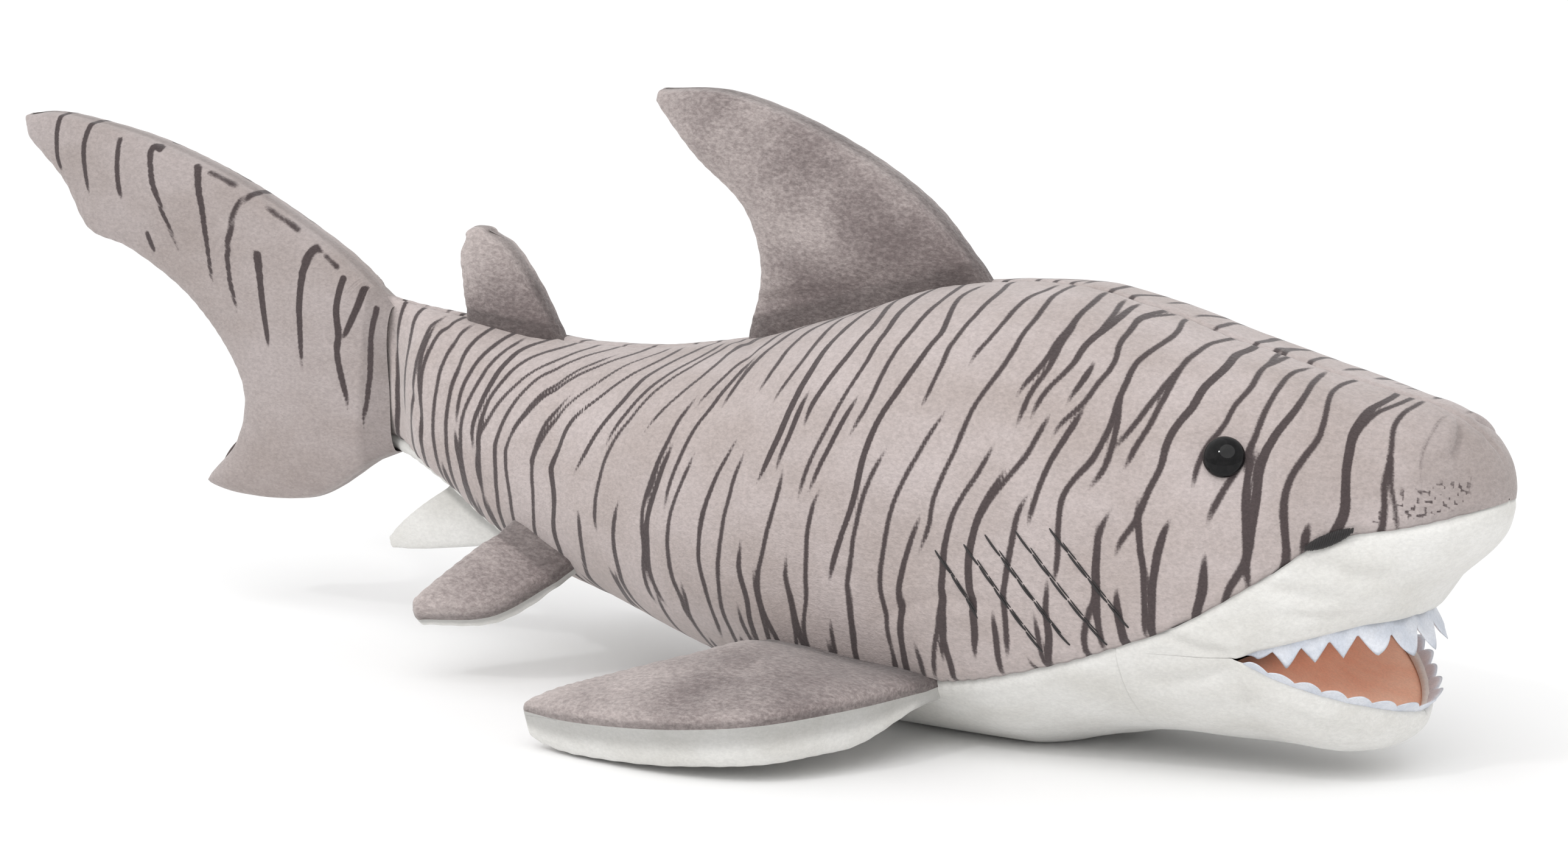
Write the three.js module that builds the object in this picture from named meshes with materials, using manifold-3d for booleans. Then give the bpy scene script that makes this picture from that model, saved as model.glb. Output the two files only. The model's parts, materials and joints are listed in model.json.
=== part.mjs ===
// Plush shark, modelled the way it is sewn: fabric panels over fibre stuffing, hinged where the
// toy bends. Millimetres, +X towards the snout, +Y the shark's left, +Z up. The origin is on the
// flat patch of belly that the toy rests on, below the thickest part of the body.
import * as THREE from "three";
import { mergeVertices } from "three/addons/utils/BufferGeometryUtils.js";
import Module from "manifold-3d";

const wasm = await Module();
wasm.setup();

// ---- driving dimensions ----
const skin = 2.0; // thickness of a plush panel on the body
const finSkin = 1.4; // thickness of a plush panel on a fin
const gap = 0.3; // clearance between pieces that touch
const noseX = 141.5; // tip of the snout
const tailEndX = -252; // end of the stuffed tail stalk, at the caudal crease
const sectionPower = 2.3; // squareness of the body's cross-section
const ringSegments = 22; // points around one body section

const jawHinge = { x: 79, z: 39, radius: 36 };
const jawRimFront = { x: 118, z: 20.5 }; // lower lip at the chin
const palateFront = { x: 117, z: 49.4 }; // upper lip under the snout
const bendX = -165; // vertical axis that the rear body sways about
const bendRadius = 39.5;
const runningClearance = 0.7;
const liningThickness = 1.5;
const teethThickness = 1.2;

const eye = { x: 75, z: 96, radius: 6, dome: 4.2, shankRadius: 1.6, shankLength: 9 };
const washer = { inner: 2.2, outer: 7, thickness: 1.4 };

// Body profiles, as [x, value] knots.
const topProfile = [[-252, 111], [-222, 106], [-165, 101.5], [-138, 103.5], [-111, 108], [-70, 120.5],
  [-28, 132.5], [0, 133.5], [25, 130], [53, 123.5], [89, 115.5], [112, 110.8], [142, 104]];
const bottomProfile = [[-252, 61], [-222, 51], [-194, 36], [-165, 26.5], [-138, 20], [-111, 12.5],
  [-75, 3.5], [-40, -2], [0, -2.5], [25, 3.5], [45, 7.5], [65, 8.5], [79, 9.5], [90, 18], [101, 31],
  [110, 41.5], [117, 49.4], [123, 57.5], [131, 63], [142, 68]];
const widestProfile = [[-252, 86], [-200, 70], [-150, 62], [-100, 60], [0, 62], [50, 66], [79, 70],
  [100, 77], [112, 80], [142, 84]];
const halfWidthProfile = [[-252, 14], [-237, 17], [-210, 24.5], [-180, 33], [-150, 42], [-120, 49.5],
  [-90, 55.5], [-60, 59.5], [-30, 61], [0, 61.5], [30, 60], [59, 54.5], [75, 50], [90, 44],
  [99, 39], [112, 32], [126, 26], [142, 17]];
const seamProfile = [[-280, 64], [-252, 64.5], [-222, 55], [-200, 43.5], [-165, 28], [-111, 14], [-60, 18], [-13, 22],
  [10, 27], [59, 45], [90, 64], [99, 71], [110, 75.5], [122, 77.6], [135, 81], [143, 84], [160, 92]];

const colours = {
  stripedPlush: "#bcb0ad",
  greyPlush: "#9c9390",
  whitePlush: "#e4e1da",
  whiteFelt: "#eef0f2",
  lining: "#e2946e",
  thread: "#1b1a1c",
  eyePlastic: "#08080a",
  washerPlastic: "#e9e9e4",
  fibre: "#f3f2ee",
};

const shark = new THREE.Group();

function material(colour, roughness) {
  return new THREE.MeshStandardMaterial({ color: colour, roughness, metalness: 0 });
}

const materials = {
  stripedPlush: material(colours.stripedPlush, 0.95),
  greyPlush: material(colours.greyPlush, 0.95),
  whitePlush: material(colours.whitePlush, 0.95),
  whiteFelt: material(colours.whiteFelt, 0.9),
  lining: material(colours.lining, 0.9),
  thread: material(colours.thread, 0.7),
  eyePlastic: material(colours.eyePlastic, 0.1),
  washerPlastic: material(colours.washerPlastic, 0.5),
  fibre: material(colours.fibre, 1),
};

// ---- solids and booleans ----

function solidFromTriangles(points, triangles) {
  const vertProperties = new Float32Array(points.flatMap((p) => [p.x, p.y, p.z]));
  let volume = 0;
  for (const [a, b, c] of triangles) {
    volume += points[a].dot(new THREE.Vector3().crossVectors(points[b], points[c]));
  }
  const outward = volume > 0 ? triangles : triangles.map(([a, b, c]) => [a, c, b]);
  const triVerts = new Uint32Array(outward.flat());
  return new wasm.Manifold(new wasm.Mesh({ numProp: 3, vertProperties, triVerts }));
}

function solidFromGeometry(geometry) {
  geometry.deleteAttribute("normal");
  geometry.deleteAttribute("uv");
  const merged = mergeVertices(geometry, 1e-4);
  const vertProperties = new Float32Array(merged.attributes.position.array);
  const triVerts = new Uint32Array(merged.index.array);
  return new wasm.Manifold(new wasm.Mesh({ numProp: 3, vertProperties, triVerts }));
}

function addPiece(name, solid, pieceMaterial) {
  const { vertProperties, triVerts } = solid.getMesh();
  const geometry = new THREE.BufferGeometry();
  geometry.setAttribute("position", new THREE.BufferAttribute(new Float32Array(vertProperties), 3));
  geometry.setIndex(new THREE.BufferAttribute(new Uint32Array(triVerts), 1));
  geometry.computeVertexNormals();
  const mesh = new THREE.Mesh(geometry, pieceMaterial);
  mesh.name = name;
  shark.add(mesh);
}

function mirrored(solid) {
  return solid.mirror([0, 1, 0]);
}

// A closed skin between two grids of points of the same size: the walls join their borders.
function patch(front, back) {
  const rows = front.length;
  const columns = front[0].length;
  const points = [...front.flat(), ...back.flat()];
  const at = (side, row, column) => side * rows * columns + row * columns + column;
  const triangles = [];
  for (let row = 0; row + 1 < rows; row++) {
    for (let column = 0; column + 1 < columns; column++) {
      const corners = [[row, column], [row + 1, column], [row + 1, column + 1], [row, column + 1]];
      const [a, b, c, d] = corners.map(([r, k]) => at(0, r, k));
      const [e, f, g, h] = corners.map(([r, k]) => at(1, r, k));
      triangles.push([a, b, c], [a, c, d], [e, g, f], [e, h, g]);
    }
  }
  const border = [];
  for (let column = 0; column + 1 < columns; column++) border.push([0, column]);
  for (let row = 0; row + 1 < rows; row++) border.push([row, columns - 1]);
  for (let column = columns - 1; column > 0; column--) border.push([rows - 1, column]);
  for (let row = rows - 1; row > 0; row--) border.push([row, 0]);
  border.forEach(([row, column], index) => {
    const [nextRow, nextColumn] = border[(index + 1) % border.length];
    const a = at(0, row, column);
    const b = at(0, nextRow, nextColumn);
    const c = at(1, nextRow, nextColumn);
    const d = at(1, row, column);
    triangles.push([a, b, c], [a, c, d]);
  });
  return solidFromTriangles(points, triangles);
}

// A closed solid through a series of rings, each end closed to its own centre.
function loft(rings) {
  const count = rings[0].length;
  const points = rings.flat();
  const triangles = [];
  for (let ring = 0; ring + 1 < rings.length; ring++) {
    for (let i = 0; i < count; i++) {
      const a = ring * count + i;
      const b = ring * count + ((i + 1) % count);
      triangles.push([a, b, b + count], [a, b + count, a + count]);
    }
  }
  for (const [ring, flip] of [[0, true], [rings.length - 1, false]]) {
    const centre = new THREE.Vector3();
    rings[ring].forEach((p) => centre.addScaledVector(p, 1 / count));
    points.push(centre);
    for (let i = 0; i < count; i++) {
      const a = ring * count + i;
      const b = ring * count + ((i + 1) % count);
      triangles.push(flip ? [points.length - 1, b, a] : [points.length - 1, a, b]);
    }
  }
  return solidFromTriangles(points, triangles);
}

function box(x0, x1, y0, y1, z0, z1) {
  const geometry = new THREE.BoxGeometry(x1 - x0, y1 - y0, z1 - z0);
  geometry.translate((x0 + x1) / 2, (y0 + y1) / 2, (z0 + z1) / 2);
  return solidFromGeometry(geometry);
}

// A side outline in X and Z, carried through the whole width of the toy.
function sideOutline(shape) {
  const width = 320;
  const geometry = new THREE.ExtrudeGeometry(shape, { depth: width, bevelEnabled: false, curveSegments: 14 });
  geometry.rotateX(Math.PI / 2);
  geometry.translate(0, width / 2, 0);
  return solidFromGeometry(geometry);
}

function uprightCylinder(x, radius) {
  const geometry = new THREE.CylinderGeometry(radius, radius, 400, 40);
  geometry.rotateX(Math.PI / 2);
  geometry.translate(x, 0, 60);
  return solidFromGeometry(geometry);
}

// ---- smooth profiles ----

// Monotone cubic interpolation through [x, value] knots.
function along(knots, x) {
  const last = knots.length - 1;
  const clamped = THREE.MathUtils.clamp(x, knots[0][0], knots[last][0]);
  const slope = (k) => (knots[k + 1][1] - knots[k][1]) / (knots[k + 1][0] - knots[k][0]);
  const tangent = (k) => {
    if (k === 0) return slope(0);
    if (k === last) return slope(last - 1);
    const before = slope(k - 1);
    const after = slope(k);
    return before * after <= 0 ? 0 : (2 * before * after) / (before + after);
  };
  let k = 0;
  while (k < last - 1 && clamped > knots[k + 1][0]) k++;
  const width = knots[k + 1][0] - knots[k][0];
  const t = (clamped - knots[k][0]) / width;
  const h00 = 2 * t ** 3 - 3 * t ** 2 + 1;
  const h10 = t ** 3 - 2 * t ** 2 + t;
  const h01 = 3 * t ** 2 - 2 * t ** 3;
  const h11 = t ** 3 - t ** 2;
  return h00 * knots[k][1] + h10 * width * tangent(k) + h01 * knots[k + 1][1] + h11 * width * tangent(k + 1);
}

const snoutStartX = 112;
const stalkRoundX = -240;
const noseZ = 84;

// How far along the rounding of the snout (positive) or of the tail stalk's end (negative) x is.
function endProgress(x) {
  if (x > snoutStartX) return Math.min(1, (x - snoutStartX) / (noseX - snoutStartX));
  if (x < stalkRoundX) return -Math.min(1, (stalkRoundX - x) / (stalkRoundX - tailEndX));
  return 0;
}

// Half width, top, bottom and widest height of the body at x.
function bodySection(x) {
  const progress = endProgress(x);
  const widest = along(widestProfile, x);
  let halfWidth = along(halfWidthProfile, x);
  let up = along(topProfile, x) - widest;
  let down = widest - along(bottomProfile, x);
  if (progress > 0) {
    const round = Math.max(0, 1 - progress ** 3) ** 0.37;
    halfWidth *= round;
    up *= round;
    down *= round;
  }
  if (progress < 0) {
    halfWidth *= Math.max(0.32, Math.sqrt(1 - progress ** 2));
  }
  return { halfWidth, widest, up, down };
}

function sectionPoint(x, angle, section, inset) {
  const power = 2 / sectionPower;
  const sine = Math.sin(angle);
  const cosine = Math.cos(angle);
  const height = cosine > 0 ? section.up : section.down;
  const y = (section.halfWidth - inset) * Math.sign(sine) * Math.abs(sine) ** power;
  const z = section.widest + (height - inset) * Math.sign(cosine) * Math.abs(cosine) ** power;
  return new THREE.Vector3(x, y, z);
}

// Half width of the body at a height, for pieces that lie on its side.
function bodyHalfWidth(x, z) {
  const { halfWidth, widest, up, down } = bodySection(x);
  const height = z > widest ? up : down;
  const share = Math.min(1, Math.abs(z - widest) / height);
  return halfWidth * (1 - share ** sectionPower) ** (1 / sectionPower);
}

const bodyStations = [-252, -250, -245, -235, -210, -180, -150, -120, -92, -64, -36, -8, 20, 48, 70, 90, 108,
  122, 131, 137, 140.5, 141.8];

function ringAt(x, section, inset) {
  const progress = Math.max(0, endProgress(x));
  const sideways = inset * Math.sqrt(1 - progress ** 6);
  const shift = -inset * progress ** 3;
  const ring = [];
  for (let i = 0; i < ringSegments; i++) {
    const angle = (2 * Math.PI * (i + 0.5)) / ringSegments;
    ring.push(sectionPoint(x + shift, angle, section, sideways));
  }
  return ring;
}

function bodySolid(inset) {
  const whole = loft(bodyStations.map((x) => ringAt(x, bodySection(x), inset)));
  return whole.intersect(box(tailEndX + inset, 300, -200, 200, inset, 300));
}

// ---- regions that split the body into its moving parts ----

function mouthPlaneZ(x) {
  return jawHinge.z + ((x - jawHinge.x) * (palateFront.z - jawHinge.z)) / (palateFront.x - jawHinge.x);
}

function jawRimZ(x) {
  return jawHinge.z - 0.5 - ((x - jawHinge.x) * (jawHinge.z - 0.5 - jawRimFront.z)) / (jawRimFront.x - jawHinge.x);
}

function mouthFrontRegion() {
  const shape = new THREE.Shape();
  shape.moveTo(jawHinge.x, jawHinge.z);
  shape.lineTo(180, mouthPlaneZ(180));
  shape.lineTo(180, -30);
  shape.lineTo(jawHinge.x, -30);
  return sideOutline(shape);
}

function jawRecessRegion() {
  const radius = jawHinge.radius + runningClearance;
  const shape = new THREE.Shape();
  shape.moveTo(jawHinge.x + 1, jawHinge.z);
  shape.lineTo(jawHinge.x + 1, -30);
  shape.lineTo(jawHinge.x, -30);
  shape.lineTo(jawHinge.x, jawHinge.z - radius);
  shape.absarc(jawHinge.x, jawHinge.z, radius, -Math.PI / 2, -Math.PI, true);
  return sideOutline(shape);
}

const jawOpening = THREE.MathUtils.degToRad(14); // room behind the hinge for the jaw to drop

function jawRegion() {
  const shape = new THREE.Shape();
  shape.moveTo(jawHinge.x, jawRimZ(jawHinge.x));
  shape.lineTo(jawRimFront.x + 12, jawRimZ(jawRimFront.x + 12));
  shape.lineTo(jawRimFront.x + 12, -30);
  shape.lineTo(jawHinge.x, -30);
  shape.lineTo(jawHinge.x, jawHinge.z - jawHinge.radius);
  shape.absarc(jawHinge.x, jawHinge.z, jawHinge.radius, -Math.PI / 2, -Math.PI + jawOpening, true);
  return sideOutline(shape);
}

const trunkRegion = box(bendX, 300, -200, 200, -50, 300)
  .subtract(uprightCylinder(bendX, bendRadius + runningClearance))
  .subtract(jawRecessRegion())
  .subtract(mouthFrontRegion());
const rearRegion = box(-500, bendX, -200, 200, -50, 300).add(uprightCylinder(bendX, bendRadius));

// The region above the seam between the striped back and the white underside.
function aboveSeam(offset) {
  const shape = new THREE.Shape();
  shape.moveTo(-280, 300);
  for (let x = -280; x <= 160; x += 10) shape.lineTo(x, along(seamProfile, x) + offset);
  shape.lineTo(160, 300);
  return sideOutline(shape);
}

const sides = {
  right: box(-500, 300, -200, -gap / 2, -50, 300),
  left: box(-500, 300, gap / 2, 200, -50, 300),
};
const cheekStart = { x: 40, z: 38.4 };
const muzzleRegion = box(cheekStart.x, 300, -200, 200, cheekStart.z, 300);
const aroundMuzzle = box(cheekStart.x - gap, 300, -200, 200, cheekStart.z - gap, 300);
const throatRegion = box(-500, 300, -200, 200, -50, 300).subtract(aroundMuzzle);

// ---- body ----

const bodyShell = bodySolid(0).subtract(bodySolid(skin));
const bodyCore = bodySolid(skin + gap);

function eyeAxis() {
  const y = -bodyHalfWidth(eye.x, eye.z);
  const step = 2;
  const alongX = new THREE.Vector3(2 * step, 0, 0);
  alongX.y = -bodyHalfWidth(eye.x + step, eye.z) + bodyHalfWidth(eye.x - step, eye.z);
  const alongZ = new THREE.Vector3(0, 0, 2 * step);
  alongZ.y = -bodyHalfWidth(eye.x, eye.z + step) + bodyHalfWidth(eye.x, eye.z - step);
  const direction = alongX.cross(alongZ).normalize();
  return { centre: new THREE.Vector3(eye.x, y, eye.z), direction };
}

// Places a shape turned about +Y so that it looks out of the head at the right eye.
function atRightEye(geometry) {
  const { centre, direction } = eyeAxis();
  const turn = new THREE.Quaternion().setFromUnitVectors(new THREE.Vector3(0, 1, 0), direction);
  geometry.applyQuaternion(turn);
  geometry.translate(centre.x, centre.y, centre.z);
  return solidFromGeometry(geometry);
}

function eyeSolid() {
  const base = 0.5;
  const profile = [new THREE.Vector2(0, -eye.shankLength), new THREE.Vector2(eye.shankRadius, -eye.shankLength)];
  profile.push(new THREE.Vector2(eye.shankRadius, base));
  for (let step = 0; step <= 5; step++) {
    const angle = (Math.PI / 2) * (step / 5);
    profile.push(new THREE.Vector2(eye.radius * Math.cos(angle), base + eye.dome * Math.sin(angle)));
  }
  profile[profile.length - 1].x = 0;
  return atRightEye(new THREE.LatheGeometry(profile, 18));
}

const washerDepth = skin + 2;

function washerSolid() {
  const { inner, outer, thickness } = washer;
  const profile = [
    new THREE.Vector2(inner, -washerDepth - thickness),
    new THREE.Vector2(outer, -washerDepth - thickness),
    new THREE.Vector2(outer, -washerDepth),
    new THREE.Vector2(inner, -washerDepth),
    new THREE.Vector2(inner, -washerDepth - thickness),
  ];
  return atRightEye(new THREE.LatheGeometry(profile, 16));
}

function eyeHole(radius, depth) {
  const geometry = new THREE.CylinderGeometry(radius, radius, depth + 6, 16);
  geometry.translate(0, (6 - depth) / 2, 0);
  return atRightEye(geometry);
}

function addBodyPanels() {
  const above = aboveSeam(gap / 2);
  const below = box(-500, 300, -200, 200, -50, 300).subtract(aboveSeam(-gap / 2));
  const shankHole = eyeHole(eye.shankRadius + gap, washerDepth + 8);
  const upper = bodyShell.intersect(above).subtract(shankHole).subtract(mirrored(shankHole));
  const lower = bodyShell.intersect(below);
  for (const [side, half] of Object.entries(sides)) {
    const panel = upper.intersect(half);
    addPiece(`back_panel_${side}`, panel.intersect(trunkRegion), materials.stripedPlush);
    addPiece(`rear_panel_${side}`, panel.intersect(rearRegion), materials.stripedPlush);
  }
  addPiece("belly_panel", lower.intersect(trunkRegion).intersect(throatRegion), materials.whitePlush);
  addPiece("muzzle_panel", lower.intersect(trunkRegion).intersect(muzzleRegion), materials.whitePlush);
  addPiece("rear_belly_panel", lower.intersect(rearRegion), materials.whitePlush);
}

function addBodyStuffing() {
  const pocket = eyeHole(washer.outer + 1, washerDepth + washer.thickness + 1);
  const shankHole = eyeHole(eye.shankRadius + gap, eye.shankLength + 1);
  const eyePockets = pocket.add(shankHole);
  const roof = mouthFrontRegion().translate([0, 0, liningThickness + gap]);
  const trunk = bodyCore.intersect(trunkRegion)
    .subtract(roof)
    .subtract(eyePockets)
    .subtract(mirrored(eyePockets));
  addPiece("trunk_stuffing", trunk, materials.fibre);
  addPiece("rear_stuffing", bodyCore.intersect(rearRegion), materials.fibre);
}

function addPalate() {
  const raised = mouthFrontRegion().translate([0, 0, liningThickness]);
  const inFront = box(jawHinge.x + gap, 300, -200, 200, -50, 300);
  const lining = bodyCore.intersect(raised).intersect(inFront).subtract(mouthFrontRegion());
  addPiece("palate_lining", lining, materials.lining);
}

function addEyes() {
  const rightEye = eyeSolid();
  const rightWasher = washerSolid();
  addPiece("eye_right", rightEye, materials.eyePlastic);
  addPiece("eye_left", mirrored(rightEye), materials.eyePlastic);
  addPiece("eye_washer_right", rightWasher, materials.washerPlastic);
  addPiece("eye_washer_left", mirrored(rightWasher), materials.washerPlastic);
}

// ---- lower jaw ----

const jawStations = [40, 60, 79, 90, 100, 108, 113, 116, 117.8];
const chinProfile = [[79, 7.9], [95, 7], [105, 8.5], [112, 11.5], [116, 15], [118, 19]];

function jawSection(x) {
  if (x <= jawHinge.x) {
    const section = bodySection(x);
    const bottom = Math.min(along(bottomProfile, x), 7.9);
    return { ...section, down: section.widest - bottom };
  }
  const progress = (x - jawHinge.x) / (jawRimFront.x - jawHinge.x);
  const hingeSection = bodySection(jawHinge.x);
  const narrowing = Math.max(0.02, (1 - progress ** 1.6) ** 0.7);
  const halfWidth = hingeSection.halfWidth * narrowing;
  const widest = THREE.MathUtils.lerp(hingeSection.widest, jawRimFront.z + 2, progress);
  const height = widest - along(chinProfile, x);
  return { halfWidth, widest, up: height, down: height };
}

function jawSolid(inset) {
  const rings = jawStations.map((x) => {
    const section = jawSection(x);
    const progress = Math.max(0, (x - jawHinge.x) / (jawRimFront.x - jawHinge.x));
    const sideways = Math.min(inset, section.halfWidth * 0.6, section.down * 0.6);
    const ring = [];
    for (let i = 0; i < ringSegments; i++) {
      const angle = (2 * Math.PI * (i + 0.5)) / ringSegments;
      ring.push(sectionPoint(x - inset * progress ** 3, angle, section, sideways));
    }
    return ring;
  });
  return loft(rings);
}

function addJaw() {
  const region = jawRegion();
  const core = jawSolid(skin + gap).intersect(region);
  const underLining = region.translate([0, 0, -liningThickness]);
  const underGap = region.translate([0, 0, -liningThickness - gap]);
  const inFront = box(jawHinge.x + gap, 300, -200, 200, -50, 300);
  const jawSkin = jawSolid(0).subtract(jawSolid(skin)).intersect(region);
  addPiece("jaw_panel", jawSkin, materials.whitePlush);
  addPiece("tongue_lining", core.subtract(underLining).intersect(inFront), materials.lining);
  addPiece("jaw_stuffing", core.intersect(underGap), materials.fibre);
}

// ---- teeth: one zigzag strip of felt along each lip ----

function teethStrip({ centreX, reachX, reachY, count, valley, tip, rootZ, direction }) {
  const columnCount = count * 2 + 1;
  const makeGrid = (offset) => {
    const root = [];
    const edge = [];
    for (let column = 0; column < columnCount; column++) {
      const angle = THREE.MathUtils.lerp(-1.4, 1.4, column / (columnCount - 1));
      const x = centreX + (reachX + offset) * Math.cos(angle);
      const y = (reachY + offset) * Math.sin(angle);
      const base = rootZ(x) + direction * gap * 2;
      const opening = mouthPlaneZ(x) - jawRimZ(x);
      const reach = column % 2 === 1 ? Math.min(tip, 0.4 * opening) : Math.min(valley, 0.2 * opening);
      root.push(new THREE.Vector3(x, y, base));
      edge.push(new THREE.Vector3(x, y, base + direction * reach));
    }
    return [root, edge];
  };
  return patch(makeGrid(0), makeGrid(-teethThickness));
}

function addTeeth() {
  const upper = { centreX: 80, reachX: 31.5, reachY: 34, count: 13, valley: 1.6, tip: 7.5 };
  const lower = { centreX: 80, reachX: 35.5, reachY: 38, count: 13, valley: 1.2, tip: 4.6 };
  const upperStrip = teethStrip({ ...upper, rootZ: mouthPlaneZ, direction: -1 });
  const lowerStrip = teethStrip({ ...lower, rootZ: jawRimZ, direction: 1 });
  addPiece("upper_teeth", upperStrip, materials.whiteFelt);
  addPiece("lower_teeth", lowerStrip, materials.whiteFelt);
}

// ---- stitched details that lie on the side of the head ----

function onRightSkin(x, z, offset) {
  const step = 1;
  const y = -bodyHalfWidth(x, z);
  const alongX = new THREE.Vector3(2 * step, -bodyHalfWidth(x + step, z) + bodyHalfWidth(x - step, z), 0);
  const alongZ = new THREE.Vector3(0, -bodyHalfWidth(x, z + step) + bodyHalfWidth(x, z - step), 2 * step);
  const direction = alongX.cross(alongZ).normalize();
  return new THREE.Vector3(x, y, z).addScaledVector(direction, offset);
}

// A raised strip on the skin from one place to another, with its half width given along it.
function skinStrip(start, end, steps, halfWidth, height) {
  const lift = 0.7;
  const length = Math.hypot(end.x - start.x, end.z - start.z);
  const across = { x: -(end.z - start.z) / length, z: (end.x - start.x) / length };
  const makeGrid = (offset) => {
    const rows = [];
    for (let step = 0; step <= steps; step++) {
      const t = step / steps;
      const x = THREE.MathUtils.lerp(start.x, end.x, t);
      const z = THREE.MathUtils.lerp(start.z, end.z, t);
      const reach = halfWidth(t);
      rows.push([-1, 1].map((s) => onRightSkin(x + s * reach * across.x, z + s * reach * across.z, offset)));
    }
    return rows;
  };
  return patch(makeGrid(lift + height), makeGrid(lift));
}

const gillStitches = [
  { start: { x: -8.5, z: 62.5 }, end: { x: 6, z: 43.5 } },
  { start: { x: 1.5, z: 65 }, end: { x: 24.5, z: 36.5 } },
  { start: { x: 8.5, z: 68.5 }, end: { x: 33, z: 39.5 } },
  { start: { x: 18.5, z: 70.5 }, end: { x: 44, z: 40.5 } },
  { start: { x: 29, z: 72.5 }, end: { x: 51, z: 46.5 } },
];
const nostril = { start: { x: 99.2, z: 73.2 }, end: { x: 110, z: 78.4 }, halfWidth: 1.5 };

function addStitches() {
  gillStitches.forEach(({ start, end }, index) => {
    const strip = skinStrip(start, end, 6, () => 0.6, 0.9);
    addPiece(`gill_thread_right_${index + 1}`, strip, materials.thread);
    addPiece(`gill_thread_left_${index + 1}`, mirrored(strip), materials.thread);
  });
  const slit = skinStrip(nostril.start, nostril.end, 6, (t) => {
    return Math.max(0.25, nostril.halfWidth * Math.sin(Math.PI * t) ** 0.7);
  }, 0.9);
  addPiece("nostril_stitch_right", slit, materials.thread);
  addPiece("nostril_stitch_left", mirrored(slit), materials.thread);
}

// ---- fins: two panels sewn round the edge, with stuffing between ----

function point3(p) {
  return new THREE.Vector3(...p);
}

// Leading and trailing edges run from the root to the tip. The fin's thickness swells between
// them and dies away at the edge and the tip; the root stays slim so that it can hinge. A side
// fin is fuller and blunter under its seam (under) than above it (over).
function finSolids({ leading, trailing, columns, rows, over, under = over, rootBulge }) {
  const lead = new THREE.CatmullRomCurve3(leading.map(point3), false, "centripetal");
  const trail = new THREE.CatmullRomCurve3(trailing.map(point3), false, "centripetal");
  const alongRoot = point3(trailing[0]).sub(point3(leading[0]));
  const toTip = point3(leading[leading.length - 1]).sub(point3(leading[0]));
  const normal = alongRoot.cross(toTip).normalize();
  const swell = (u, v, [fullness, bluntness]) => {
    const rise = THREE.MathUtils.lerp(rootBulge, fullness, Math.min(1, v / 0.35) ** 0.8);
    const fall = Math.sqrt(Math.max(0, 1 - v ** 3));
    return rise * fall * Math.max(0, 4 * u * (1 - u)) ** bluntness;
  };
  const makeGrid = (bulge, offset, border) => {
    const grid = [];
    for (let row = 0; row <= rows - border; row++) {
      const v = row / rows;
      const line = [];
      for (let column = border; column <= columns - border; column++) {
        const u = (1 - Math.cos((Math.PI * column) / columns)) / 2;
        const p = lead.getPoint(v).lerp(trail.getPoint(v), u);
        line.push(p.addScaledVector(normal, offset(swell(u, v, bulge))));
      }
      grid.push(line);
    }
    return grid;
  };
  const upper = patch(
    makeGrid(over, (s) => gap / 2 + s + finSkin, 0),
    makeGrid(over, (s) => gap / 2 + s, 0),
  );
  const lower = patch(
    makeGrid(under, (s) => -gap / 2 - s - finSkin, 0),
    makeGrid(under, (s) => -gap / 2 - s, 0),
  );
  const filling = patch(
    makeGrid(over, (s) => Math.max(0.1, s - gap), 1),
    makeGrid(under, (s) => -Math.max(0.1, s - gap), 1),
  );
  return { upper, lower, filling };
}

const aboveFloor = box(-600, 300, -300, 300, 0, 300);
const aboveFinSkin = box(-600, 300, -300, 300, finSkin + gap, 300);

function addMidlineFin(name, spec, panelMaterial) {
  const { upper, lower, filling } = finSolids(spec);
  const rightFirst = upper.boundingBox().min[1] < lower.boundingBox().min[1];
  addPiece(`${name}_panel_right`, rightFirst ? upper : lower, panelMaterial);
  addPiece(`${name}_panel_left`, rightFirst ? lower : upper, panelMaterial);
  addPiece(`${name}_stuffing`, filling, materials.fibre);
}

function addSideFin(name, spec) {
  const { upper, lower, filling } = finSolids(spec);
  const upperIsTop = upper.boundingBox().max[2] > lower.boundingBox().max[2];
  const top = upperIsTop ? upper : lower;
  const bottom = (upperIsTop ? lower : upper).intersect(aboveFloor);
  const core = filling.intersect(aboveFinSkin);
  addPiece(`${name}_right_top_panel`, top, materials.greyPlush);
  addPiece(`${name}_right_bottom_panel`, bottom, materials.whitePlush);
  addPiece(`${name}_right_stuffing`, core, materials.fibre);
  addPiece(`${name}_left_top_panel`, mirrored(top), materials.greyPlush);
  addPiece(`${name}_left_bottom_panel`, mirrored(bottom), materials.whitePlush);
  addPiece(`${name}_left_stuffing`, mirrored(core), materials.fibre);
}

const firstDorsal = {
  leading: [[-29, 0, 136], [-50, 0, 156], [-84, 0, 174], [-120, 0, 184.5], [-144, 0, 184]],
  trailing: [[-111, 0, 113], [-106.5, 0, 129], [-112, 0, 147], [-130, 0, 162], [-145.5, 0, 179]],
  columns: 6, rows: 7, over: [6.5, 0.5], rootBulge: 1.2,
};
const secondDorsal = {
  leading: [[-184, 0, 105.5], [-194, 0, 120.5], [-203.8, 0, 132.8], [-211.5, 0, 135.5]],
  trailing: [[-219, 0, 109], [-219.8, 0, 118], [-220.5, 0, 127.5], [-218, 0, 133.8]],
  columns: 5, rows: 4, over: [3.6, 0.5], rootBulge: 1.2,
};
const analFin = {
  leading: [[-199, 0, 34], [-223, 0, 30], [-240, 0, 27.5], [-248, 0, 27]],
  trailing: [[-228, 0, 50.5], [-238.5, 0, 43], [-247, 0, 36], [-252, 0, 30.5]],
  columns: 4, rows: 4, over: [2.2, 0.5], rootBulge: 1,
};
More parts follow.
